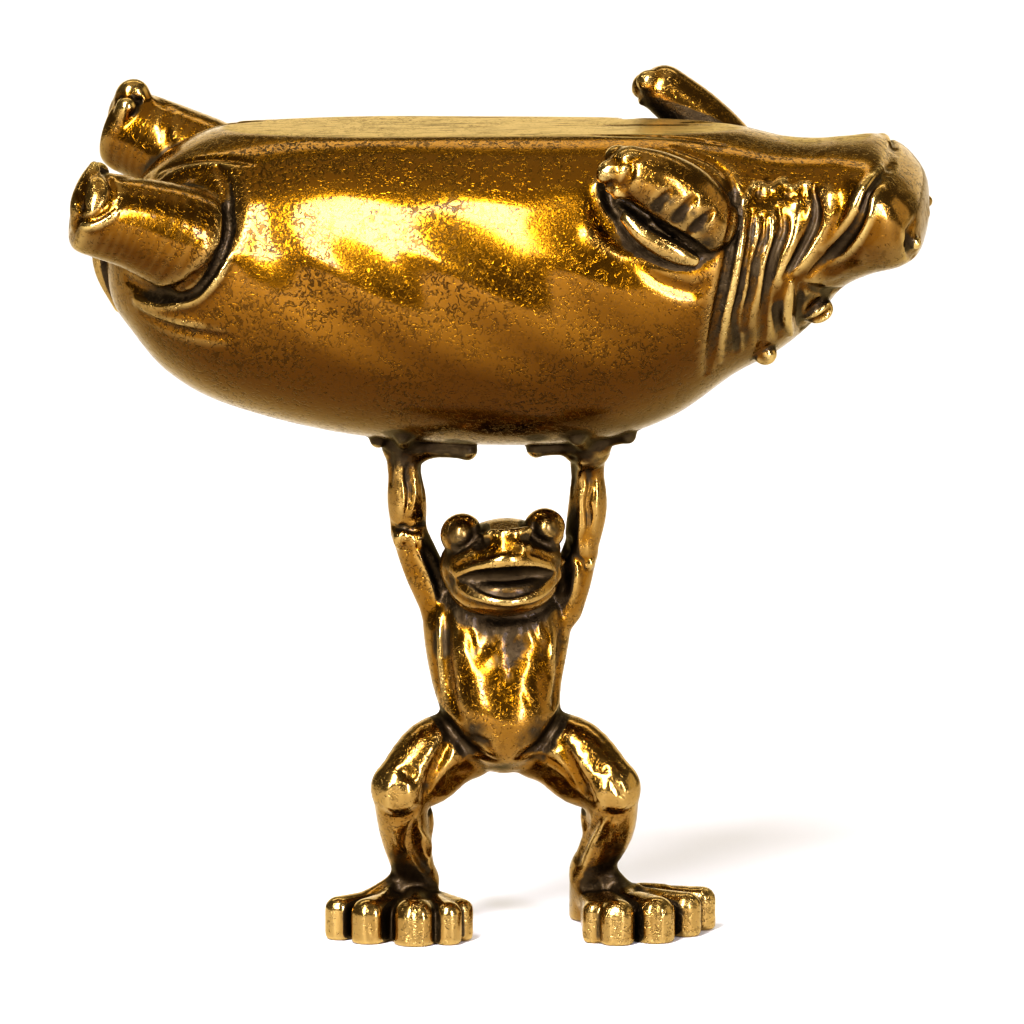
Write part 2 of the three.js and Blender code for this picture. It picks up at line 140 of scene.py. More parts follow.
class Clay:
    empty = 9.0  # distance that the grid holds before any form is added
    flattest = 0.05  # slope, squared, that a move to the surface reckons with at least

    def __init__(self, low, high, pitch):
        self.pitch = pitch
        self.low = np.asarray(low, float)
        self.count = np.ceil((np.asarray(high, float) - self.low) / pitch).astype(int) + 1
        self.field = np.full(self.count, self.empty, np.float32)

    def window(self, low, high):
        # The block of the grid between two corners, and the places of its planes
        first = np.clip(np.floor((np.asarray(low) - self.low) / self.pitch).astype(int), 0, self.count)
        last = np.clip(np.ceil((np.asarray(high) - self.low) / self.pitch).astype(int) + 1, 0, self.count)
        block = tuple(slice(a, b) for a, b in zip(first, last))
        planes = [
            (self.low[i] + self.pitch * np.arange(first[i], last[i])).astype(np.float32) for i in range(3)
        ]
        return block, (planes[0][:, None, None], planes[1][None, :, None], planes[2][None, None, :])

    def sample(self, points):
        # The distance at any places, between the grid points
        place = np.clip((points - self.low) / self.pitch, 0, self.count - 1.001)
        base = place.astype(int)
        f = (place - base).astype(np.float32)
        i, j, k = base.T
        fx, fy, fz = f.T
        total = np.zeros(len(points), np.float32)
        for di, dj, dk in cellCorners:
            weight = (fx if di else 1 - fx) * (fy if dj else 1 - fy) * (fz if dk else 1 - fz)
            total += weight * self.field[i + di, j + dj, k + dk]
        return total

    def slope(self, points):
        step = self.pitch * 0.75
        return np.stack([
            self.sample(points + step * axis) - self.sample(points - step * axis) for axis in np.eye(3)
        ], 1) / (2 * step)

    def ontoSurface(self, points, rounds=3):
        for _ in range(rounds):
            distance = self.sample(points)
            slope = self.slope(points)
            steep = np.maximum((slope ** 2).sum(1), self.flattest)
            move = (distance / steep)[:, None] * slope
            length = np.linalg.norm(move, axis=1, keepdims=True)
            points = points - move * np.minimum(1, self.pitch / np.maximum(length, tiny))
        return points

    def firstInside(self, lines):
        # Where lines of places first meet the clay
        met = []
        for line in lines:
            hits = np.flatnonzero(self.sample(line) < 0)
            if len(hits):
                met.append(line[hits[0]])
        return self.ontoSurface(np.array(met), 2) if met else np.zeros((0, 3))

    def put(self, block, distance, blend, cut=False):
        distance = distance.astype(np.float32)
        if cut:
            self.field[block] = smoothMax(self.field[block], -distance, blend)
        else:
            self.field[block] = smoothMin(self.field[block], distance, blend)

    def keepWithin(self, block, distance, blend):
        # What lies outside the distance is cut away
        distance = np.broadcast_to(distance, self.field[block].shape).astype(np.float32)
        self.field[block] = smoothMax(self.field[block], distance, blend)

    def limb(self, places, radii, blend=0.4, cut=False, steps=5):
        # A round limb along a smooth path
        rows = smoothRows(np.c_[np.asarray(places, float), np.asarray(radii, float)], steps)
        points, thick = rows[:, :3], rows[:, 3]
        reach = thick.max() + 2 * blend + 0.3
        block, planes = self.window(points.min(0) - reach, points.max(0) + reach)
        distance = None
        for (share, apart), first, last in zip(alongPath(planes, points), thick, thick[1:]):
            segment = np.sqrt(apart) - (first + (last - first) * share)
            distance = segment if distance is None else np.minimum(distance, segment)
        self.put(block, distance, blend, cut)

    def ball(self, place, radii, turn=np.eye(3), blend=0.4):
        place, radii = np.asarray(place, float), np.broadcast_to(radii, 3)
        reach = radii.max() + 2 * blend + 0.3
        block, (x, y, z) = self.window(place - reach, place + reach)
        x, y, z = x - place[0], y - place[1], z - place[2]
        own = [turn[0, i] * x + turn[1, i] * y + turn[2, i] * z for i in range(3)]
        scaled = np.sqrt(sum((own[i] / radii[i]) ** 2 for i in range(3)))
        twice = np.sqrt(sum((own[i] / radii[i] ** 2) ** 2 for i in range(3)))
        self.put(block, scaled * (scaled - 1) / np.maximum(twice, 1e-6), blend)

    def press(self, points, widths, depths):
        # A soft groove along a path on the surface, or a ridge where the depth is negative
        points = np.asarray(points, float)
        widths, depths = np.broadcast_to(widths, len(points)), np.broadcast_to(depths, len(points))
        reach = carving["reach"] * widths.max() + self.pitch
        block, planes = self.window(points.min(0) - reach, points.max(0) + reach)
        nearest = np.full(self.field[block].shape, 1e6, np.float32)
        place = np.zeros_like(nearest)
        for i, (share, apart) in enumerate(alongPath(planes, points)):
            closer = apart < nearest
            nearest = np.where(closer, apart, nearest)
            place = np.where(closer, i + share, place)
        order = np.arange(len(points))
        width = np.interp(place, order, widths).astype(np.float32)
        depth = np.interp(place, order, depths).astype(np.float32)
        self.field[block] += depth * np.exp(-nearest / width ** 2)


cellCorners = [(a, b, c) for a in (0, 1) for b in (0, 1) for c in (0, 1)]


# Forms laid where the camera sees them

lean = math.tan(degrees(view["elevation"]))
upright = math.cos(degrees(view["elevation"]))


def frontPoints(clay, marks, steps=0):
    # Where the camera's lines through the marks, or through a curve laid over them, first meet the clay
    pixel, axis, soles, behind = (picture[name] for name in ("pixel", "axis", "soles", "behind"))
    rows = [(round((px - axis) * pixel, 2), round((soles - py) * pixel, 2)) for px, py in marks]
    if steps and len(rows) > 1:
        rows = smoothRows(rows, steps)
    y = np.arange(-behind, behind, clay.pitch * 0.5)
    return clay.firstInside(
        np.stack([np.full_like(y, x), y, height / upright - y * lean], 1) for x, height in rows
    )


def carve(clay, points, width, depth, taper=True):
    # Along points on the surface, and swelling from both ends if it tapers. One point alone makes a dent.
    if len(points) == 1:
        points, taper = np.vstack([points, points + carving["dentLength"]]), False
    share = np.linspace(0, 1, len(points))
    swell = np.sqrt(np.clip(4 * share * (1 - share), carving["leastSwell"] if taper else 1, 1))
    slim = carving["taperedWidth"]
    clay.press(points, width * (slim + (1 - slim) * swell), depth * swell)


def closeSet(clay, points):
    # The path with points added on the surface where they stand apart
    rows = [points[:1]]
    for a, b in zip(points, points[1:]):
        count = int(np.linalg.norm(b - a) / carving["gap"]) + 1
        rows.append(a + (b - a) * (np.arange(1, count + 1) / count)[:, None])
    return clay.ontoSurface(np.vstack(rows), 3)


def carveSeen(clay, lines, twin=None, taper=True):
    # Lines as the camera sees them, and their twins on the far side. Each has a width, a depth, which is
    # negative where it is raised, and the marks that it runs through. A line with one mark is a dent.
    for width, depth, *marks in lines:
        points = frontPoints(clay, marks, carving["steps"])
        if len(points) < min(len(marks), 2):
            continue
        if len(marks) > 1:
            points = closeSet(clay, points)
        carve(clay, points, width, depth, taper)
        if twin:
            carve(clay, clay.ontoSurface(twin(points), 5), width, depth, taper)


# Hippo, in its own frame: x to its head, v across with its near side negative, w up to its belly

hippo = {
    "axisHeight": 34.4,
    "roll": 9.0,  # belly turned to the front
    "yaw": 6.0,  # head turned to the front
    "flatHeight": 8.12,  # level flat along the belly, over the axis
    "flatRise": 0.016,  # and its rise to the head, for each millimetre
    "flatEdge": 0.18,
    # place along it, belly, back, half width, and squareness on the belly's and the back's side
    "sections": [
        [-20.75, 1.0, 1.0, 0.0, 2.1, 2.1],
        [-20.3, 3.0, -1.2, 2.6, 2.1, 2.1],
        [-19.2, 4.9, -2.75, 4.7, 2.1, 2.1],
        [-17.2, 6.8, -4.95, 6.5, 2.1, 2.1],
        [-14.0, 8.0, -6.55, 8.0, 2.15, 2.1],
        [-8.0, 8.75, -7.95, 8.9, 2.2, 2.1],
        [-1.0, 8.8, -8.45, 9.1, 2.2, 2.1],
        [5.0, 8.8, -8.15, 8.8, 2.2, 2.1],
        [9.0, 8.7, -6.9, 8.0, 2.2, 2.0],
        [12.3, 8.25, -4.55, 6.8, 2.2, 2.0],
        [14.6, 7.75, -3.3, 5.9, 2.3, 1.9],
        [16.4, 7.65, -1.8, 5.2, 2.4, 1.7],
        [17.9, 7.75, 0.05, 4.8, 2.5, 1.8],
        [19.6, 7.65, 1.2, 5.3, 2.7, 2.3],
        [21.2, 6.6, 1.75, 4.9, 2.7, 2.5],
        [22.1, 5.6, 2.45, 3.4, 2.5, 2.5],
        [22.45, 4.0, 4.0, 0.0, 2.3, 2.3],
    ],
    "room": ((-22.5, -11.5, 24.5), (23.5, 11.5, 44.5)),  # corners of the clay that holds its body
    "rollSpacing": 6.6,  # of the soft diagonal rolls of its flanks
    "rollLean": 1.28,
    "rollCrest": 3.0,  # x of a crest at the axis
    "rollDepth": 0.10,
    "rollLevel": 1.5,  # w at which they are deepest
    "rollHeight": 4.2,
    "rollSides": (2, 6),  # distances from the middle between which they rise
    "rollEnds": (-12, -9, 6, 9.5),  # and the places along it between which they rise and fade
    # x, v, w and radius of each limb on the near side
    "nearFrontLeg": [
        (11.3, 6.0, 5.3, 1.75), (10.3, 6.35, 6.5, 1.85), (9.0, 6.7, 7.5, 1.66), (7.6, 6.9, 8.2, 1.32),
    ],
    "farFrontLeg": [
        (12.0, 6.0, 4.4, 1.7), (11.0, 6.5, 5.7, 1.6), (9.6, 6.8, 7.1, 1.48), (8.0, 6.9, 8.45, 1.3),
    ],
    # from the tip of its leg
    "frontToes": [(-0.72, -0.5, 0.6, 0.62), (-0.95, 0.55, 0.1, 0.68), (-0.6, 0.6, -0.8, 0.62)],
    "hindLeg": [
        (-13.8, 5.1, 2.3, 2.85), (-15.6, 5.8, 3.6, 2.85), (-18.0, 6.6, 4.8, 2.45), (-20.2, 7.4, 5.6, 2.2),
    ],
    "sole": (-21.2, 7.75, 5.9),
    "soleFacing": (-0.93, 0.26, 0.26),
    "soleReach": 3.4,
    "soleEdge": 0.35,
    # On the rim of the sole: one ridge of toes to the belly with a pointed top, and two lower ones
    "toeRidge": [
        (-20.4, 6.7, 8.0, 0.26), (-20.5, 7.3, 7.1, 0.74), (-20.7, 7.9, 6.2, 0.86), (-20.9, 8.2, 5.3, 0.55),
    ],
    "outerToe": [(-20.9, 8.1, 5.2, 0.6), (-21.0, 7.3, 4.4, 0.66), (-20.9, 6.4, 4.3, 0.5)],
    "innerToe": [(-20.3, 5.9, 7.4, 0.55), (-20.6, 5.9, 6.4, 0.55)],
    "farToe": (-20.0, 6.95, 7.9),  # shows over the ridge of the far leg
    "tail": [(-20.5, 0, 3.3, 0.5), (-20.95, 0, 1.6, 0.55), (-20.85, 0, 0.1, 0.5), (-20.1, 0, -1.7, 0.35)],
    # x, angle and lift from the skin
    "eye": (16.8, 144, 0.1),
    "ear": (14.1, 146, 0.12),
    "nearNostril": (22.0, 101, 0.02),
    "farNostril": (22.0, 101, -0.3),
    "chin": (20.5, 14),  # x, and the angle to both sides that the gap of the lips runs
    "lids": [(0.34, 0.17, -0.13), (-0.3, 0.17, -0.13), (0.02, 0.15, 0.3)],  # rise, width and depth
    "brow": [(788, 285, 0.16), (785, 300, 0.33), (784, 318, 0.34), (789, 335, 0.16)],  # mark and radius
    "nearNostrilDent": [(0.3, -0.32, (916, 245))],
    "legRoll": [(7.3, 54, 0.36), (8.2, 61, 0.52), (9.2, 66.5, 0.6), (10.1, 71, 0.56), (10.8, 74.5, 0.36)],
}
# Lines on the skin of both sides: width, depth, and the x and angle of each place
skinMarks = {
    "hollow that the front leg lies in": [
        (0.7, 0.4, (6.2, 33), (6.1, 44), (6.6, 54), (7.8, 62), (9.3, 69), (10.8, 73)),
    ],
    "ring of skin round the thigh": [
        (0.8, -0.18, (-13.0, 34), (-12.6, 46), (-12.7, 60), (-13.5, 73), (-14.7, 85), (-16.2, 94)),
    ],
    "grooves in that ring": [
        (0.19, 0.45, (-14.3, 27), (-13.7, 37), (-13.45, 49), (-13.6, 60), (-14.0, 71), (-14.9, 82),
         (-16.0, 89)),
        (0.3, 0.4, (-13.5, 48), (-13.6, 60), (-14.1, 71), (-14.9, 81), (-16.2, 88)),
        (0.26, 0.22, (-18.2, 104), (-16.6, 103), (-15.1, 102), (-13.5, 101)),
        (0.36, -0.2, (-18.6, 100), (-16.6, 99), (-14.9, 97.5)),
    ],
    "groins, up to the flat": [
        (0.22, 0.16, (-17.6, 17), (-15.6, 20), (-13.6, 24), (-12.4, 28)),
        (0.2, -0.14, (-18.0, 26), (-16.2, 24), (-14.4, 26), (-13.2, 30)),
    ],
    "crease along the flat": [(0.14, 0.1, (4.5, 10), (7.0, 11), (9.5, 12), (12.0, 14))],
}
# Lines that the camera sees on it, which are laid on its far side too
headLines = {
    "folds of the neck, from its collar forwards": [
        (0.24, 0.46, (733, 197), (732, 222), (730, 241), (723, 279), (716, 312), (710, 346), (706, 374)),
        (0.17, 0.36, (751, 216), (749, 232), (747, 251), (740, 288), (733, 318), (735, 352)),
        (0.24, 0.5, (763, 222), (762, 240), (754, 262), (751, 290), (744, 312), (741, 332)),
        (0.28, 0.56, (778, 213), (780, 233), (771, 257), (766, 284), (762, 312), (760, 346)),
    ],
    "skin raised between them": [
        (0.2, -0.26, (742, 203), (740, 233), (735, 267), (729, 298), (723, 326), (719, 362)),
        (0.13, -0.14, (755, 222), (754, 240), (746, 270), (741, 300), (740, 330), (741, 352)),
        (0.15, -0.16, (768, 222), (768, 244), (760, 275), (757, 305), (757, 330)),
        (0.34, -0.22, (795, 206), (792, 232), (784, 258), (773, 286), (771, 306)),
    ],
    "cheek between two grooves": [
        (0.22, 0.5, (810, 192), (814, 210), (811, 228), (802, 247), (792, 264), (781, 279)),
        (0.36, -0.24, (826, 193), (829, 210), (826, 227), (815, 246), (803, 263), (794, 274)),
    ],
    "mouth, as a thin line and a deep fold behind it": [
        (0.19, 0.34, (891, 165), (884, 173), (874, 184), (864, 198), (859, 212)),
        (0.21, 0.66, (864, 200), (860, 214), (852, 231), (839, 247), (823, 262), (807, 277)),
        (0.24, -0.3, (880, 171), (872, 178), (864, 187), (854, 201), (846, 219), (834, 236), (819, 251)),
        (0.22, -0.18, (872, 200), (868, 217), (860, 236), (846, 254), (829, 268)),
    ],
    "lower edge of the muzzle, and the eye": [
        (0.4, -0.14, (806, 284), (818, 280), (832, 276), (848, 270)),
        (0.2, 0.34, (775, 284), (773, 300), (775, 320), (778, 338)),
        (0.17, 0.4, (798, 286), (798, 300), (797, 314), (800, 330)),
        (0.2, 0.34, (799, 286), (812, 290), (826, 293), (838, 290)),
    ],
    "rim of the nostril": [
        (0.14, -0.16, (898, 230), (900, 243), (903, 259)),
        (0.26, 0.44, (911, 224), (905, 237), (905, 249), (911, 259)),
    ],
    "ragged hem of the folds": [
        (0.2, -0.2, (744, 203), (749, 192), (758, 188), (767, 192), (778, 186), (790, 191), (801, 187),
         (809, 195)),
        (0.26, 0.2, (757, 198)), (0.15, 0.1, (770, 200)), (0.28, 0.18, (786, 199)),
        (0.15, 0.1, (800, 199)), (0.16, -0.12, (752, 187)), (0.2, -0.14, (781, 183)),
        (0.17, -0.12, (806, 187)), (0.15, 0.14, (766, 184)),
    ],
    "swelling of the cheek and the muzzle": [
        (0.8, -0.24, (826, 201)), (1.2, -0.2, (881, 204)),
    ],
}
legLines = {
    "behind the front leg": [
        (0.3, -0.26, (601, 176), (597, 194), (602, 212), (613, 229), (624, 241)),
        (0.26, 0.3, (609, 186), (608, 200), (612, 212), (620, 219)),
    ],
    "upper edge of the leg, round its shoulder": [
        (0.2, 0.26, (672, 151), (692, 157), (712, 166), (727, 181), (731, 204), (728, 228), (722, 250)),
    ],
    "between the leg and the roll of skin": [
        (0.22, 0.45, (618, 203), (634, 213), (652, 223), (670, 234), (690, 246), (706, 258)),
    ],
    "wrinkles across the leg": [
        (0.18, 0.4, (668, 196), (660, 204), (652, 213)),
        (0.19, 0.46, (692, 202), (682, 213), (672, 225)),
        (0.2, 0.46, (709, 216), (698, 226), (686, 237)),
    ],
    "between the toes": [
        (0.19, 0.26, (631, 166), (630, 175), (625, 186), (620, 194)),
        (0.18, 0.2, (614, 165), (621, 167), (630, 165), (639, 163)),
    ],
    "on the flank behind the leg": [
        (0.5, -0.14, (586, 230), (590, 240), (600, 250), (618, 262)),
        (0.4, 0.2, (640, 272), (664, 286), (690, 294), (704, 288)),
    ],
    "toes of the hind leg": [
        (0.17, 0.44, (106, 174), (114, 184), (117, 196), (112, 208), (102, 216)),
        (0.17, 0.36, (84, 221), (96, 222), (108, 217), (119, 209)),
        (0.2, -0.16, (86, 229), (98, 229), (112, 223), (124, 213)),
        (0.17, 0.24, (80, 196), (84, 208), (92, 214)),
        (0.3, 0.1, (118, 183), (140, 180), (165, 181), (195, 181)),
    ],
    "under the hind leg, round to the rump": [
        (0.34, 0.42, (222, 250), (213, 267), (199, 281), (182, 291), (164, 295), (146, 291), (129, 281)),
        (0.3, -0.26, (232, 262), (220, 281), (203, 297), (180, 307), (158, 308), (138, 301)),
    ],
}
hippoTurn = turnedBy(z=-hippo["yaw"]) @ turnedBy(x=hippo["roll"])
sectionTable = smoothRows(hippo["sections"], 24)


def hippoPlace(x, v, w):
    return hippoTurn @ np.array([x, v, w]) + np.array([0, 0, hippo["axisHeight"]])


def sectionAt(x):
    # Belly, back, half width and the two squarenesses at places along it
    return (np.interp(x, sectionTable[:, 0], sectionTable[:, i]) for i in range(1, 6))


def skinPlace(x, angle, lift=0.0):
    # A place on the skin: the angle runs from the belly over the near side, which is 90, to the back
    belly, back, halfWidth, bellySquare, backSquare = sectionAt(x)
    sine, cosine = math.sin(degrees(angle)), math.cos(degrees(angle))
    power = 2 / (bellySquare if cosine > 0 else backSquare)
    v = -(halfWidth + lift) * math.copysign(abs(sine) ** power, sine)
    w = (belly + back) / 2 + ((belly - back) / 2 + lift) * math.copysign(abs(cosine) ** power, cosine)
    flat = hippo["flatHeight"] + hippo["flatRise"] * x - v * math.sin(degrees(hippo["roll"]))
    return hippoPlace(x, v, min(w, flat / math.cos(degrees(hippo["roll"])) + lift))


def skinLines(clay, name, side):
    for width, depth, *marks in skinMarks[name]:
        places = np.array([skinPlace(x, side * angle) for x, angle in smoothRows(marks, 5)])
        carve(clay, clay.ontoSurface(places, 3), width, depth)


def farSide(points):
    # The same places on its other flank
    over = np.array([0, 0, hippo["axisHeight"]])
    return ((points - over) @ hippoTurn * (1, -1, 1)) @ hippoTurn.T + over


def hippoLimb(clay, name, side, blend):
    rows = hippo[name]
    clay.limb([hippoPlace(x, -side * v, w) for x, v, w, _ in rows], [row[3] for row in rows], blend)


def hippoBody(clay):
    block, (x, y, z) = clay.window(*hippo["room"])
    z = z - hippo["axisHeight"]
    along, v, w = (hippoTurn[0, i] * x + hippoTurn[1, i] * y + hippoTurn[2, i] * z for i in range(3))
    belly, back, halfWidth, bellySquare, backSquare = (row.astype(np.float32) for row in sectionAt(along))
    halfWidth = np.maximum(halfWidth, 0.02)
    halfHeight = np.maximum((belly - back) / 2, 0.02)
    level = w
    w = w - (belly + back) / 2
    square = np.where(w > 0, bellySquare, backSquare)
    scaled = (np.abs(v / halfWidth) ** square + np.abs(w / halfHeight) ** square) ** (1 / square)
    distance = np.sqrt(v * v + w * w) * (1 - 1 / np.maximum(scaled, 1e-3))
    distance = np.where(scaled < 1e-3, -halfWidth, distance)
    # The rolls run down and back along both flanks and fade to the belly, the back and both ends
    phase = (along + hippo["rollLean"] * level - hippo["rollCrest"]) / hippo["rollSpacing"]
    side = np.exp(-((w - hippo["rollLevel"]) / hippo["rollHeight"]) ** 4)
    side = side * np.interp(np.abs(v), hippo["rollSides"], (0, 1))
    ends = np.interp(along, hippo["rollEnds"], (0, 1, 1, 0))
    distance -= hippo["rollDepth"] * np.cos(2 * np.pi * phase) * side * ends
    beyond = np.maximum(np.maximum(sectionTable[0, 0] - along, along - sectionTable[-1, 0]), 0)
    distance = np.where(beyond > 0, np.hypot(np.maximum(distance, 0), beyond), distance).astype(np.float32)
    # Even the distances out where the sections stretch them
    slopes = np.gradient(distance, clay.pitch)
    distance /= np.clip(np.sqrt(sum(slope * slope for slope in slopes)), 0.6, 3.0)
    # Filed level along the belly
    flat = z + np.float32(-hippo["flatHeight"]) - np.float32(hippo["flatRise"]) * along
    flat = np.broadcast_to(flat, distance.shape).astype(np.float32)
    clay.put(block, smoothMax(distance, flat, hippo["flatEdge"]), 0.3)


def hippoHead(clay):
    carveSeen(clay, [line for lines in headLines.values() for line in lines], twin=farSide)
    points = frontPoints(clay, [mark[:2] for mark in hippo["brow"]])
    radii = [mark[2] for mark in hippo["brow"]]
    far = clay.ontoSurface(farSide(points), 5)
    clay.limb(points, radii, blend=0.15)
    clay.limb(far, radii, blend=0.15)
    carveSeen(clay, hippo["nearNostrilDent"])


def hippoEye(clay, side):
    # A ball between two lids, with a slit
    lidAcross = hippoTurn @ np.array([0.86, 0, 0.5])
    lidUp = hippoTurn @ np.array([-0.5, 0, 0.86])
    x, angle, lift = hippo["eye"]
    eye = skinPlace(x, side * angle, lift)
    clay.ball(eye, (0.82, 0.72, 0.72), blend=0.2)
    outward = hippoTurn @ np.array([0.25, -side * 0.8, -0.35])
    for rise, width, depth in hippo["lids"]:
        bow = [
            eye + outward * (0.86 - 0.5 * s * s) + lidAcross * s * 0.8 + lidUp * rise * (1 - 0.5 * s * s)
            for s in (-1, -0.5, 0, 0.5, 1)
        ]
        clay.press(clay.ontoSurface(np.array(bow), 2), width, depth)
    # Small round ear with a notch
    x, angle, lift = hippo["ear"]
    ear = skinPlace(x, side * angle, lift)
    clay.ball(ear, (0.62, 0.6, 0.6), blend=0.16)
    earOut = hippoTurn @ np.array([0.1, -side * 0.7, -0.6])
    clay.press(np.array([ear + earOut, ear + earOut * 0.6 + lidUp * 0.4]), 0.22, [0.28, 0.14])
    x, angle, lift = hippo["nearNostril" if side > 0 else "farNostril"]
    clay.ball(skinPlace(x, side * angle, lift), 0.34, blend=0.08)


def hippoFrontLeg(clay, side):
    skinLines(clay, "hollow that the front leg lies in", side)
    leg = "nearFrontLeg" if side > 0 else "farFrontLeg"
    hippoLimb(clay, leg, side, 0.15)
    # Roll of skin under it
    rows = smoothRows(hippo["legRoll"], 5)
    clay.limb([skinPlace(x, side * angle, 0.2) for x, angle, _ in rows], rows[:, 2], blend=0.12, steps=1)
    for dx, dv, dw, radius in hippo["frontToes"]:
        x, v, w, _ = hippo[leg][-1]
        clay.ball(hippoPlace(x + dx, -side * (v + dv), w + dw), (radius * 1.15, radius, radius), blend=0.14)


def hippoHindLeg(clay, side):
    skinLines(clay, "ring of skin round the thigh", side)
    hippoLimb(clay, "hindLeg", side, 0.16)
    skinLines(clay, "grooves in that ring", side)
    # Flat sole
    x, v, w = hippo["sole"]
    sole = hippoPlace(x, -side * v, w)
    alongLeg, across, up = hippo["soleFacing"]
    facing = hippoTurn @ np.array([alongLeg, -side * across, up])
    reach = hippo["soleReach"]
    block, (x, y, z) = clay.window(sole - reach - 0.2, sole + reach + 0.2)
    beyond = (x - sole[0]) * facing[0] + (y - sole[1]) * facing[1] + (z - sole[2]) * facing[2]
    apart = (x - sole[0]) ** 2 + (y - sole[1]) ** 2 + (z - sole[2]) ** 2
    clay.keepWithin(block, np.where(apart < reach ** 2, beyond, -3), hippo["soleEdge"])
    hippoLimb(clay, "toeRidge", side, 0.12)
    if side < 0:
        x, v, w = hippo["farToe"]
        clay.ball(hippoPlace(x, -side * v, w), (0.78, 0.7, 0.7), blend=0.6)
    hippoLimb(clay, "outerToe", side, 0.2)
    hippoLimb(clay, "innerToe", side, 0.2)


def hippoForms(clay):
    hippoBody(clay)
    hippoHead(clay)
    for side in (1, -1):
        hippoHindLeg(clay, side)
        hippoFrontLeg(clay, side)
        hippoEye(clay, side)
    carveSeen(clay, [line for lines in legLines.values() for line in lines], twin=farSide)
    # Tail down the middle of the rump, with a groove on both sides
    for v in (-0.75, 0.75):
        path = clay.ontoSurface(np.array([hippoPlace(x, v, w) for x, _, w, _ in hippo["tail"]]), 6)
        clay.press(path, 0.4, 0.3)
    hippoLimb(clay, "tail", 1, 0.2)
    for side in (1, -1):
        skinLines(clay, "groins, up to the flat", side)
    # Gap of the lips across the chin
    x, angle = hippo["chin"]
    chin = np.array([skinPlace(x, angle * share) for share in (1, 3 / 7, 0, -3 / 7, -1)])
    clay.press(clay.ontoSurface(chin, 3), 0.24, 0.22)
    for side in (1, -1):
        skinLines(clay, "crease along the flat", side)
    print("hippo modelled")


# Frog, with its right side on the left

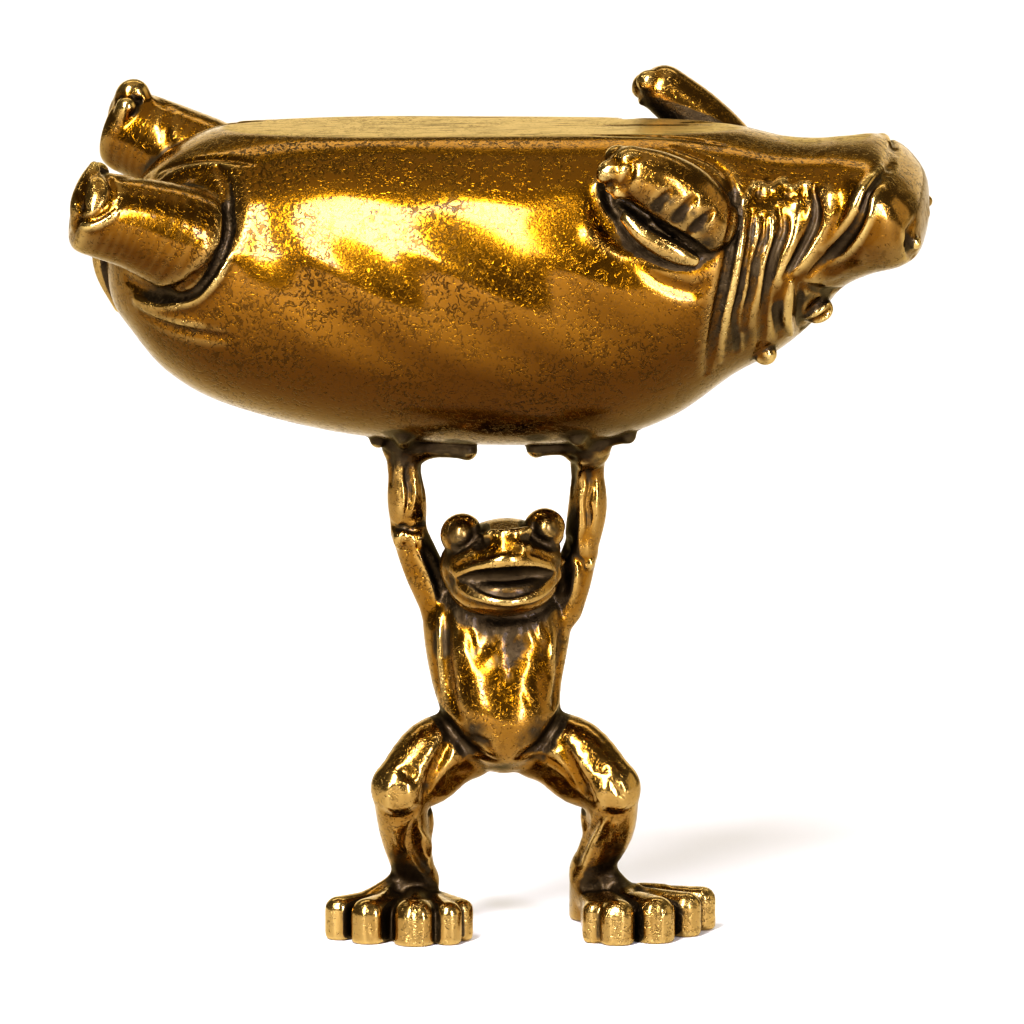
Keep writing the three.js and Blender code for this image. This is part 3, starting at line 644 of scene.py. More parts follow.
frog = {
    "left": {
        "hip": (-1.9, 0.2, 9.8), "knee": (-5.35, -2.6, 7.9), "calf": (-5.05, -0.9, 5.2),
        "ankle": (-4.45, 0.4, 2.6), "heel": (-4.35, 3.2), "shoulder": (-3.25, 0.4, 17.3),
        "upperArm": (-4.15, 0.35, 19.3), "elbow": (-4.85, 0.25, 21.1), "forearm": (-4.95, 0.1, 22.8),
        "wrist": (-5.1, 0, 24.7),
        # tip, radius and base of each toe
        "toes": [
            ((-8.5, -2.75), 0.74, (-5.5, 0.3)), ((-6.95, -3.8), 0.93, (-5.0, 0.0)),
            ((-4.55, -4.3), 1.12, (-4.5, -0.2)), ((-2.78, -4.25), 0.72, (-4.1, 0.0)),
            ((-2.1, -3.2), 0.62, (-3.9, 0.4)),
        ],
        "palm": (-5.0, 170),
        # tip, radius and lift of each finger on the hippo's back
        "fingers": [
            ((-1.75, 169), 0.44, 0.4), ((-4.75, 147), 0.34, 0.0), ((-6.3, 163), 0.36, 0.1),
            ((-5.0, 196), 0.42, 0.05),
        ],
    },
    "right": {
        "hip": (2.0, 0.2, 9.8), "knee": (5.8, -2.6, 7.9), "calf": (5.65, -0.9, 5.5),
        "ankle": (4.7, 0.7, 3.1), "heel": (4.5, 3.3), "shoulder": (3.2, 0.4, 17.1),
        "upperArm": (3.65, 0.35, 18.5), "elbow": (4.1, 0.25, 20.0), "forearm": (4.5, 0.1, 22.4),
        "wrist": (4.5, 0, 24.6),
        "toes": [
            ((4.85, -3.75), 0.62, (4.7, 0.6)), ((6.05, -4.2), 0.93, (5.0, 0.4)),
            ((8.05, -3.5), 1.03, (5.6, 0.4)), ((9.65, -1.75), 0.82, (6.0, 0.7)),
            ((10.5, 0.1), 0.74, (6.2, 1.1)),
        ],
        "palm": (4.55, 171),
        "fingers": [
            ((1.9, 168), 0.42, 0.22), ((4.35, 147), 0.34, 0.0), ((6.75, 164), 0.36, 0.1),
            ((4.7, 197), 0.42, 0.05),
        ],
    },
    "upperArmRadii": (1.08, 1.05, 0.92),
    "forearmRadii": (0.88, 1.02, 0.78),
    "shinRadii": (1.42, 1.28, 1.0, 0.85),
    "toeHeight": 2.4,
    "toeSlope": 0.45,  # a narrower toe is lower by this share of its radius
    "widestToe": 1.05,
    "webHeight": 1.75,
    "webRounding": 0.5,
    "trunk": [  # height, middle x and y, half width and half depth
        [8.5, 0.1, -0.4, 0.5, 0.4], [8.9, 0.1, -0.5, 1.4, 1.1], [10.0, 0.1, -0.7, 2.5, 2.1],
        [11.6, -0.05, -0.6, 3.05, 2.65], [13.2, -0.25, -0.2, 3.4, 2.75], [15.4, -0.25, 0.1, 3.8, 2.6],
        [16.8, -0.18, 0.3, 3.85, 2.4], [18.0, -0.1, 0.4, 3.0, 2.1], [19.0, 0.0, 0.4, 1.7, 1.6],
        [19.5, 0.0, 0.4, 0.8, 0.8],
    ],
    "belly": [((0.1, -1.35, 11.7), (2.6, 2.1, 2.3), 0.8), ((0.2, -1.75, 10.9), (2.0, 1.6, 1.7), 0.5)],
    "headTilt": -4,
    # place, radii and blend of the rounds of the head, and of its flat top out to the snout
    "head": [
        ((0.05, -1.65, 19.7), (3.3, 3.1, 2.3), 0.4), ((0.1, -2.2, 18.5), (2.75, 2.75, 1.45), 0.35),
        ((0.2, -1.5, 21.0), (1.7, 1.6, 1.02), 0.3), ((0.28, -2.8, 21.1), (1.3, 1.5, 0.72), 0.25),
    ],
    "snoutSlope": ((0.2, -3.7, 20.1), (1.8, 1.25, 0.75), 0.4),
    # x, y, z and radius
    "ledge": [(-0.75, -3.75, 21.35, 0.34), (0.28, -4.0, 21.45, 0.42), (1.35, -3.75, 21.6, 0.34)],
    "underLedge": [(-0.45, -4.15, 20.75, 0.62), (1.0, -4.15, 20.85, 0.62)],
    "tongue": [
        (-1.75, -3.3, 18.95, 0.3), (-0.7, -4.0, 18.62, 0.5), (0.3, -4.15, 18.55, 0.56),
        (1.4, -3.8, 18.75, 0.48), (2.0, -3.2, 19.1, 0.3),
    ],
    # heights, reach to the front and radii of both lips
    "lips": [
        ((19.5, 20.05, 20.4, 20.1, 19.55), -4.8, (0.22, 0.34, 0.38, 0.34, 0.22)),
        ((18.95, 18.4, 18.15, 18.42, 19.0), -4.65, (0.22, 0.32, 0.36, 0.32, 0.22)),
    ],
    # mark and radius along the open mouth
    "opening": [
        (456, 580, 0.08), (470, 579, 0.34), (488, 581, 0.68), (508, 582, 0.86), (528, 579, 0.7),
        (544, 576, 0.4), (556, 573, 0.08),
    ],
    "eyes": [((-2.05, -2.4, 21.35), 1.14), ((2.25, -2.3, 21.65), 1.1)],
    "spine": (0.4, 0.28, (-0.1, 18.6), (-0.2, 16.5), (-0.2, 14), (0, 11.5), (0.1, 9.8)),
    # Width, depth, and the x and height of each place on both sides of the back: shoulder blades, raised
    # edges of the spine, hips, and the cords of the legs
    "backLines": [
        (0.35, 0.2, (0.9, 18.0), (1.7, 16.6), (1.9, 15.0), (1.4, 13.6)),
        (0.4, -0.14, (0.55, 17.4), (0.6, 15), (0.55, 12.4)),
        (0.35, 0.24, (1.0, 11.8), (2.2, 11.4), (3.2, 10.6)),
        (0.35, 0.35, (0.6, 9.0), (2.2, 8.9), (4.0, 8.8)),
        (0.3, 0.25, (4.6, 6.6), (4.8, 5.0), (4.6, 3.4)),
    ],
}
# Lines that the camera sees on it
ledgeLines = [
    (0.2, -0.22, (483, 534), (494, 532), (506, 532.5), (520, 531), (530, 528)),
    (0.24, 0.36, (486, 541), (492, 544)),
    (0.22, 0.32, (525, 539), (529, 537)),
    (0.24, -0.16, (486, 534)), (0.26, -0.2, (529, 529)),
]
frogLines = {
    "nose, over the lip": [
        (0.14, 0.24, (454, 568), (468, 562), (486, 556), (502, 553)),
        (0.13, 0.22, (527, 551), (540, 555), (556, 562)),
        (0.22, -0.12, (458, 557), (472, 553), (484, 549)),
        (0.4, 0.22, (477, 546), (486, 549), (494, 548)),
        (0.3, 0.18, (534, 541), (545, 546), (553, 549)),
    ],
    "lower lip: a thin bright edge, a groove and the rounded chin": [
        (0.15, 0.2, (454, 589), (464, 598), (480, 604), (505, 608), (530, 605), (547, 597), (558, 585)),
        (0.17, -0.16, (456, 585), (468, 594), (485, 600), (507, 603), (530, 600), (546, 592), (557, 581)),
        (0.26, 0.3, (456, 602), (472, 612), (500, 618), (530, 615), (554, 602)),
    ],
    "corners of the mouth": [
        (0.24, 0.25, (446, 572), (450, 578), (455, 584)),
        (0.24, 0.25, (556, 563), (560, 570), (558, 578)),
    ],
    "between the eyes": [
        (0.28, 0.25, (484, 521), (484, 528), (481, 536), (478, 545)),
        (0.26, 0.22, (528, 520), (531, 530), (535, 540)),
    ],
    "folds of the throat and chest": [
        (0.2, 0.065, (458, 612), (463, 626), (459, 642)),
        (0.16, 0.06, (469, 612), (467, 628), (473, 642), (470, 654)),
        (0.17, 0.065, (478, 617), (485, 626), (482, 640), (488, 650)),
        (0.15, 0.055, (495, 619), (492, 632), (497, 643)),
        (0.17, 0.065, (507, 618), (511, 630), (506, 644), (512, 656)),
        (0.15, 0.055, (518, 617), (523, 628), (520, 640)),
        (0.18, 0.065, (531, 613), (532, 627), (539, 641)),
        (0.17, 0.06, (545, 610), (543, 624), (549, 640), (547, 654)),
        (0.18, 0.055, (553, 606), (554, 620), (558, 634)),
        (0.12, 0.035, (476, 648), (474, 657), (478, 664)),
        (0.11, 0.03, (490, 655), (486, 664)),
        (0.14, 0.05, (504, 648), (508, 658), (505, 668)),
        (0.12, 0.035, (520, 652), (524, 662), (521, 672)),
        (0.14, 0.06, (511, 662), (510, 672), (512, 684)),
        (0.12, 0.03, (498, 668), (503, 678), (500, 690)),
        (0.13, 0.045, (523, 690), (526, 699), (531, 708)),
        (0.13, 0.03, (535, 672), (541, 682), (540, 694)),
    ],
    "skin raised between them": [
        (0.16, -0.035, (463, 612), (466, 624), (463, 636)),
        (0.16, -0.035, (474, 622), (477, 636), (475, 648)),
        (0.16, -0.03, (501, 622), (502, 636), (501, 646)),
        (0.18, -0.035, (526, 622), (530, 636), (531, 648)),
        (0.16, -0.03, (538, 620), (540, 632), (545, 646)),
        (0.2, -0.03, (551, 640), (552, 652), (549, 664)),
    ],
    "uneven skin of the chest": [
        (0.5, -0.05, (466, 632)), (0.45, 0.06, (474, 646)), (0.5, -0.06, (484, 638)),
        (0.35, 0.06, (492, 649)), (0.4, -0.04, (497, 634)), (0.5, 0.07, (506, 644)),
        (0.4, -0.05, (518, 636)), (0.5, 0.05, (526, 648)), (0.45, -0.05, (537, 638)),
        (0.4, 0.05, (546, 650)), (0.5, -0.04, (470, 664)), (0.4, 0.06, (484, 664)),
        (0.45, -0.05, (500, 666)), (0.4, 0.06, (514, 662)), (0.5, -0.04, (530, 668)),
        (0.6, -0.04, (478, 682)), (0.4, 0.05, (505, 688)), (0.5, -0.03, (522, 684)),
        (1.2, -0.14, (480, 684)), (1, -0.1, (530, 680)), (0.5, -0.1, (484, 646)), (0.5, -0.1, (466, 650)),
        (0.7, 0.06, (506, 700)), (0.45, 0.1, (517, 644)),
    ],
    "long grooves down both sides, under the arms": [
        (0.36, 0.36, (447, 606), (446, 630), (447, 665), (453, 700), (460, 716)),
        (0.22, 0.2, (434, 612), (434, 640), (436, 670), (440, 690)),
        (0.22, -0.14, (441, 618), (440, 645), (442, 672), (447, 700)),
        (0.3, 0.3, (560, 606), (562, 630), (560, 660), (556, 690), (553, 706)),
        (0.26, -0.12, (552, 640), (552, 670), (548, 700)),
    ],
    "creases of the groins and the knees": [
        (0.28, 0.34, (436, 708), (446, 725), (459, 740), (475, 752), (493, 760)),
        (0.28, 0.34, (563, 704), (557, 722), (547, 737), (533, 750), (519, 758)),
        (0.36, 0.5, (450, 736), (446, 748), (438, 764), (430, 780), (424, 796)),
        (0.34, 0.46, (561, 742), (566, 756), (573, 770), (582, 784), (591, 796)),
        (0.2, 0.16, (462, 742), (474, 738), (486, 742), (491, 751)),
        (0.3, 0.14, (458, 748), (468, 746), (480, 748)),
        (0.22, 0.2, (521, 756), (532, 748), (546, 743), (556, 746)),
        (0.2, 0.16, (543, 757), (556, 764), (566, 774), (575, 786)),
        (0.3, 0.3, (403, 771), (409, 774), (413, 779)),
        (0.18, 0.2, (395, 806), (395, 796), (395, 788)),
        (0.22, 0.2, (596, 764), (602, 768), (606, 771)),
        (0.16, 0.18, (612, 780), (616, 788), (622, 797)),
        (0.3, 0.14, (384, 812), (394, 818), (404, 817), (417, 809)),
        (0.3, 0.14, (594, 803), (606, 812), (618, 815), (630, 809)),
    ],
    "sharp ridges down the shins, and the lines of the calves": [
        (0.26, 0.36, (414, 822), (413, 838), (417, 854), (429, 874)),
        (0.18, -0.16, (418, 828), (426, 838), (430, 848), (428, 862)),
        (0.2, -0.16, (394, 826), (399, 840), (404, 852)),
        (0.22, -0.22, (606, 818), (599, 832), (592, 846), (583, 872)),
        (0.22, 0.26, (600, 816), (592, 830), (584, 846), (578, 862)),
        (0.2, 0.2, (589, 816), (586, 828), (582, 842)),
        (0.22, -0.16, (615, 820), (616, 834), (613, 846)),
        (0.3, 0.24, (580, 885), (592, 889), (604, 890), (612, 884)),
        (0.3, 0.24, (396, 890), (408, 895), (424, 895), (436, 890)),
    ],
    "tendons on the feet": [
        (0.2, 0.2, (630, 892), (645, 890), (662, 895)),
        (0.2, -0.16, (634, 888), (652, 884), (670, 889)),
        (0.2, -0.14, (640, 880), (660, 883), (684, 886)),
        (0.18, 0.16, (650, 878), (672, 882), (694, 889)),
        (0.2, -0.16, (381, 898), (388, 891), (396, 886)),
        (0.18, 0.18, (388, 898), (396, 892), (402, 888)),
    ],
    "shallow hollows down the front of the broad toes": [
        (0.22, 0.16, (417, 903), (417, 922), (418, 940)),
        (0.18, 0.08, (371, 902), (371, 920), (372, 940)),
        (0.2, 0.1, (615, 904), (615, 922), (616, 940)),
        (0.2, 0.14, (656, 903), (656, 920), (657, 938)),
        (0.14, 0.06, (336, 903), (337, 920), (338, 934)),
    ],
    "cords and creases of the arms": [
        (0.15, 0.26, (408, 464), (406, 476), (409, 490), (408, 504), (405, 516)),
        (0.34, -0.2, (399, 458), (400, 480), (401, 500), (399, 516)),
        (0.18, -0.14, (414, 468), (415, 486), (413, 504)),
        (0.16, 0.18, (391, 456), (392, 470), (391, 486)),
        (0.16, 0.18, (421, 464), (423, 480), (424, 498)),
        (0.17, 0.34, (390, 522), (397, 528), (406, 527), (412, 530), (424, 525)),
        (0.14, 0.16, (405, 519), (413, 520), (420, 516)),
        (0.15, 0.2, (416, 534), (417, 542), (419, 549)),
        (0.18, 0.12, (398, 536), (404, 545), (411, 552)),
        (0.2, 0.32, (424, 552), (431, 566), (437, 580), (441, 598)),
        (0.26, -0.16, (415, 552), (424, 566), (431, 582), (436, 600)),
        (0.15, 0.26, (588, 470), (590, 486), (587, 502), (589, 518), (586, 534)),
        (0.26, -0.18, (581, 462), (582, 486), (580, 514), (578, 548)),
        (0.24, -0.14, (597, 474), (597, 496), (596, 516), (593, 540)),
        (0.2, 0.2, (573, 456), (573, 474), (572, 494)),
        (0.2, 0.18, (574, 556), (580, 561), (587, 561), (594, 556)),
        (0.16, 0.14, (582, 566), (584, 574), (582, 584)),
        (0.26, 0.34, (566, 526), (564, 545), (564, 566), (566, 590)),
        (0.26, -0.16, (577, 568), (575, 586), (571, 604)),
        (0.2, 0.14, (386, 452), (396, 458), (408, 457), (420, 460)),
        (0.2, 0.12, (568, 455), (580, 460), (594, 457)),
        (0.42, -0.26, (402, 536)), (0.36, -0.24, (418, 541)), (0.4, -0.18, (586, 548)),
        (0.5, 0.1, (409, 570)), (0.4, -0.1, (583, 528)), (0.5, -0.12, (404, 510)),
    ],
}


def acrossFloor(x, y, a, b):
    # Seen from above, the share of the way from a to b that is nearest to each place, and how far off it is
    edge = b - a
    share = np.clip(((x - a[0]) * edge[0] + (y - a[1]) * edge[1]) / (edge @ edge), 0, 1)
    return share, np.hypot(x - a[0] - share * edge[0], y - a[1] - share * edge[1])


def frogTrunk(clay):
    table = smoothRows(frog["trunk"], 12)
    block, (x, y, z) = clay.window((-5, -4.5, 7.6), (5, 4.5, 20.5))
    height = np.clip(z, table[0, 0], table[-1, 0])
    midX, midY, halfWidth, halfDepth = (np.interp(height, table[:, 0], table[:, i]) for i in range(1, 5))
    scaled = np.hypot((x - midX) / halfWidth, (y - midY) / halfDepth)
    distance = (scaled - 1) * np.sqrt(halfWidth * halfDepth)
    beyond = np.maximum(np.maximum(table[0, 0] - z, z - table[-1, 0]), 0)
    distance = np.where(beyond > 0, np.hypot(np.maximum(distance, 0), beyond), distance)
    clay.put(block, distance, 0.6)
    for place, radii, blend in frog["belly"]:
        clay.ball(place, radii, blend=blend)


def frogLeg(clay, hip, knee, calf, ankle, heel):
    # Thigh from above and from below, shin, calf muscle and kneecap
    outward = np.sign(knee[0])
    middleX = (hip[0] + knee[0]) / 2
    clay.limb([hip, (middleX, -1.3, 9.65), knee + (0, 0, 0.2)], (1.85, 1.75, 1.4), blend=0.5)
    clay.limb([(hip[0], 0, 9.2), (middleX, -1.2, 8.1), knee], (0.95, 1.2, 1.15), blend=0.35)
    clay.limb([knee, calf, ankle, (heel[0], heel[1], 1.1)], frog["shinRadii"], blend=0.35)
    muscle = np.array([(0.5, 0.5, 2.0), (0.8, 0.3, 0.6), (0.55, 0.3, -1.4)])
    clay.limb(calf + muscle * (-outward, 1, 1), (0.5, 0.72, 0.4), blend=0.22)
    for across in (-0.4, 0.42):
        clay.ball(knee + (outward * across, -0.98, -0.1), (0.46, 0.42, 0.8), blend=0.25)


def frogWeb(clay, heel, toes):
    # The web between the toes, as a fan from the heel
    corners = np.array([heel] + [np.array(tip) * 0.9 + np.array(base) * 0.1 for tip, _, base in toes])
    low, high = corners.min(0) - 1.5, corners.max(0) + 1.5
    block, (x, y, z) = clay.window((low[0], low[1], -1.5), (high[0], high[1], 4.5))
    inside = np.zeros((x + y).shape, bool)
    nearest = np.full((x + y).shape, 1e6)
    for a, b in zip(corners, np.roll(corners, -1, 0)):
        nearest = np.minimum(nearest, acrossFloor(x, y, a, b)[1])
        edge = b - a
        inside ^= ((a[1] > y) != (b[1] > y)) & (x < edge[0] * (y - a[1]) / (edge[1] or tiny) + a[0])
    rounding = frog["webRounding"]
    outer = np.where(inside, -nearest, nearest) + rounding
    above = z - (frog["webHeight"] - rounding)
    rounded = np.hypot(np.maximum(outer, 0), np.maximum(above, 0)) - rounding
    clay.put(block, rounded + np.minimum(np.maximum(outer, above), 0), 0.3)


def frogToe(clay, tip, radius, base):
    # A wall from the toe's base to its tip, rounded over the top
    tip, base = np.array(tip), np.array(base)
    height = frog["toeHeight"] - frog["toeSlope"] * (frog["widestToe"] - radius)
    low, high = np.minimum(tip, base) - radius - 1, np.maximum(tip, base) + radius + 1
    block, (x, y, z) = clay.window((low[0], low[1], -1.5), (high[0], high[1], height + 1))
    share, apart = acrossFloor(x, y, tip, base)
    crown = radius * 0.92
    thick = radius * (1 - 0.12 * share)
    over = np.maximum(z - (height - crown), 0) + np.maximum(0.45 - z, 0) * 0.8
    clay.put(block, np.hypot(np.maximum(apart - (thick - crown), 0), over) - crown, 0.14)


def frogFoot(clay, ankle, heel, toes):
    frogWeb(clay, heel, toes)
    for toe in toes:
        frogToe(clay, *toe)
    # Heel and instep
    outward = np.sign(ankle[0])
    clay.limb([(ankle[0], ankle[1], 2.4), (heel[0], heel[1], 0.2)], (1.05, 0.95), blend=0.4)
    clay.limb([ankle + (0, -0.1, 0), (ankle[0] + outward * 1.6, ankle[1] - 1.0, 1.95),
               (ankle[0] + outward * 2.6, ankle[1] - 1.6, 1.5)], (1.0, 0.75, 0.5), blend=0.5)


def frogArm(clay, shoulder, upperArm, elbow, forearm, wrist):
    clay.limb([shoulder, upperArm, elbow], frog["upperArmRadii"], blend=0.35)
    clay.limb([elbow, forearm, wrist], frog["forearmRadii"], blend=0.2)
    for across in (-0.3, 0.4):
        clay.ball(elbow + (np.sign(wrist[0]) * across, -0.62, -0.35), (0.4, 0.36, 0.5), blend=0.15)


def frogHand(clay, wrist, palm, fingers):
    centre = skinPlace(*palm, 0.3)
    clay.limb([wrist, wrist * 0.4 + centre * 0.6, centre], (0.82, 1.0, 1.3), blend=0.3)
    for tip, radius, lift in fingers:
        reach = np.array(tip) - palm
        places = [skinPlace(*(palm + reach * share), lift) for share in (0.15, 0.5, 0.85, 1)]
        clay.limb(places, np.multiply(radius, (1.9, 1.15, 1.05, 1.25)), blend=0.3)


def frogEye(clay, place, radius):
    # A ball set in a ring of lids
    clay.ball(place, (radius, radius * 0.95, radius), blend=0.2)
    outward = unit(np.array([0.1 * np.sign(place[0]), -0.96, 0.2]))
    sideways = unit(np.cross(outward, (0, 0, 1)))
    upward = np.cross(sideways, outward)
    ring = [
        place + (outward + sideways * math.cos(t) * 0.9 + upward * math.sin(t)) * radius * 0.72
        for t in np.linspace(0, 2 * math.pi, 17)
    ]
    clay.press(clay.ontoSurface(np.array(ring), 3), 0.14, 0.2)
    clay.ball(place + outward * radius * 0.52, (radius * 0.56, radius * 0.6, radius * 0.6), blend=0.05)


def frogLimb(clay, name, blend):
    clay.limb([row[:3] for row in frog[name]], [row[3] for row in frog[name]], blend)


def frogHead(clay):
    tilted = turnedBy(y=frog["headTilt"])
    for place, radii, blend in frog["head"]:
        clay.ball(place, radii, tilted, blend)
    # Ledge of the snout, which slopes down to the lip
    frogLimb(clay, "ledge", 0.25)
    frogLimb(clay, "underLedge", 0.35)
    place, radii, blend = frog["snoutSlope"]
    clay.ball(place, radii, tilted, blend)
    for heights, reach, radii in frog["lips"]:
        shares = (-1, -0.55, 0, 0.55, 1)
        clay.limb(
            [(0.1 + 2.75 * s, reach + 2.6 * s * s, height + 0.19 * s) for s, height in zip(shares, heights)],
            radii, blend=0.3,
        )
    # The open mouth, pointed at both corners, with the tongue in its lower half
    opening = frontPoints(clay, [mark[:2] for mark in frog["opening"]])
    clay.limb(opening, [mark[2] for mark in frog["opening"]], blend=0.08, cut=True)
    frogLimb(clay, "tongue", 0.12)
    for place, radius in frog["eyes"]:
        frogEye(clay, np.array(place), radius)


def frogBack(clay):
    # The side away from the camera
    y = np.arange(9, -9, -clay.pitch * 0.5)
    for side, lines in ((1, [frog["spine"]]), (-1, frog["backLines"]), (1, frog["backLines"])):
        for width, depth, *marks in lines:
            rows = smoothRows(marks, 5) * (side, 1)
            paths = (np.stack([np.full_like(y, x), y, np.full_like(y, z)], 1) for x, z in rows)
            carve(clay, clay.firstInside(paths), width, depth)


def frogForms(clay):
    frogTrunk(clay)
    for side in ("left", "right"):
        def at(*names):
            return [np.array(frog[side][name], float) for name in names]

        frogLeg(clay, *at("hip", "knee", "calf", "ankle", "heel"))
        frogFoot(clay, *at("ankle", "heel"), frog[side]["toes"])
        frogArm(clay, *at("shoulder", "upperArm", "elbow", "forearm", "wrist"))
        frogHand(clay, *at("wrist", "palm"), frog[side]["fingers"])
    frogHead(clay)
    carveSeen(clay, ledgeLines, taper=False)
    carveSeen(clay, [line for lines in frogLines.values() for line in lines])
    frogBack(clay)
    print("frog modelled")


# From clay to a mesh

def surfaceNet(clay):
    # A point in each grid cell that the surface passes through, and a face round each grid edge it crosses
    field = clay.field
    inside = field < 0
    total = np.zeros(np.array(field.shape) - 1, np.uint8)
    for corner in cellCorners:
        total += inside[tuple(slice(start, side - 1 + start) for start, side in zip(corner, field.shape))]
    cells = np.argwhere((total > 0) & (total < len(cellCorners)))
    number = np.full(total.shape, -1, np.int32)
    number[tuple(cells.T)] = np.arange(len(cells))
    values = {corner: field[tuple((cells + corner).T)] for corner in cellCorners}
    place = np.zeros((len(cells), 3))
    crossings = np.zeros(len(cells))
    for a in cellCorners:
        for axis in range(3):
            if a[axis]:
                continue
            b = tuple(1 if i == axis else a[i] for i in range(3))
            crossed = (values[a] < 0) != (values[b] < 0)
            share = np.where(crossed, values[a] / np.where(crossed, values[a] - values[b], 1), 0)
            place += (np.array(a, float) + share[:, None] * np.eye(3)[axis]) * crossed[:, None]
            crossings += crossed
    points = clay.low + (cells + place / crossings[:, None]) * clay.pitch
    faces = []
    for axis in range(3):
        second, third = (axis + 1) % 3, (axis + 2) % 3
        here = [slice(1, -1)] * 3
        ahead = [slice(1, -1)] * 3
        here[axis], ahead[axis] = slice(0, -1), slice(1, None)
        change = inside[tuple(here)].astype(np.int8) - inside[tuple(ahead)].astype(np.int8)
        base = np.argwhere(change != 0)
        outward = change[tuple(base.T)] > 0
        around = []
        for ds, dt in ((0, 0), (1, 0), (1, 1), (0, 1)):
            cell = base.copy()
            cell[:, second] += ds
            cell[:, third] += dt
            around.append(number[tuple(cell.T)])
        quads = np.stack(around, 1)
        faces.append(np.where(outward[:, None], quads, quads[:, ::-1]))
    return points, np.vstack(faces)


def meshFrom(name, points, faces):
    mesh = bpy.data.meshes.new(name)
    mesh.vertices.add(len(points))
    mesh.vertices.foreach_set("co", points.astype(np.float32).ravel())
    mesh.loops.add(faces.size)
    mesh.loops.foreach_set("vertex_index", faces.astype(np.int32).ravel())
    mesh.polygons.add(len(faces))
    mesh.polygons.foreach_set("loop_start", np.arange(0, faces.size, faces.shape[1], dtype=np.int32))
    mesh.update(calc_edges=True)
    mesh.validate()
    return shownAs(name, mesh)


def shownAs(name, data):
    obj = bpy.data.objects.new(name, data)
    bpy.context.scene.collection.objects.link(obj)
    return obj


def thinned(obj, triangles):
    # Fewer faces where the surface is smooth
    count = len(obj.data.polygons) * 2
    if count <= triangles:
        return
    modifier = obj.modifiers.new("thin", "DECIMATE")
    modifier.ratio = triangles / count
    shown = obj.evaluated_get(bpy.context.evaluated_depsgraph_get())
    mesh = bpy.data.meshes.new_from_object(shown)
    obj.modifiers.clear()
    old = obj.data
    obj.data = mesh
    bpy.data.meshes.remove(old)


# Marks on the mesh for the material

def blurred(values, reach, rounds=2):
    # Box blurs along each axis, which come near a round one
    for axis in [0, 1, 2] * rounds:
        padded = np.concatenate([
            np.repeat(values.take([0], axis), reach + 1, axis), values,
            np.repeat(values.take([-1], axis), reach, axis),
        ], axis)
        sums = np.cumsum(padded, axis, dtype=np.float32)
        upper = [slice(None)] * 3
        lower = [slice(None)] * 3
        upper[axis], lower[axis] = slice(2 * reach + 1, None), slice(0, -2 * reach - 1)
        values = (sums[tuple(upper)] - sums[tuple(lower)]) / (2 * reach + 1)
    return values


def brassAround(clay, points, size):
    # The share of brass round places, over about this size, so that half of it is brass on a level surface
    step = max(1, round(size / 3 / clay.pitch))
    brass = np.clip(0.5 - clay.field[::step, ::step, ::step] / (step * clay.pitch), 0, 1).astype(np.float32)
    around = Clay(clay.low, clay.low, clay.pitch * step)
    around.count = np.array(brass.shape)
    around.field = blurred(brass, max(1, round(0.55 * size / around.pitch)))
    return around.sample(points)


def spotted(clay, points, spots):
    # Soft spots round what the camera sees at each mark: reach in millimetres, strength and mark
    total = np.zeros(len(points))
    for reach, strength, mark in spots:
        for point in frontPoints(clay, [mark]):
            apart = ((points - point) ** 2).sum(1)
            total = np.maximum(total, strength * np.exp(-apart / reach ** 2))
    return total


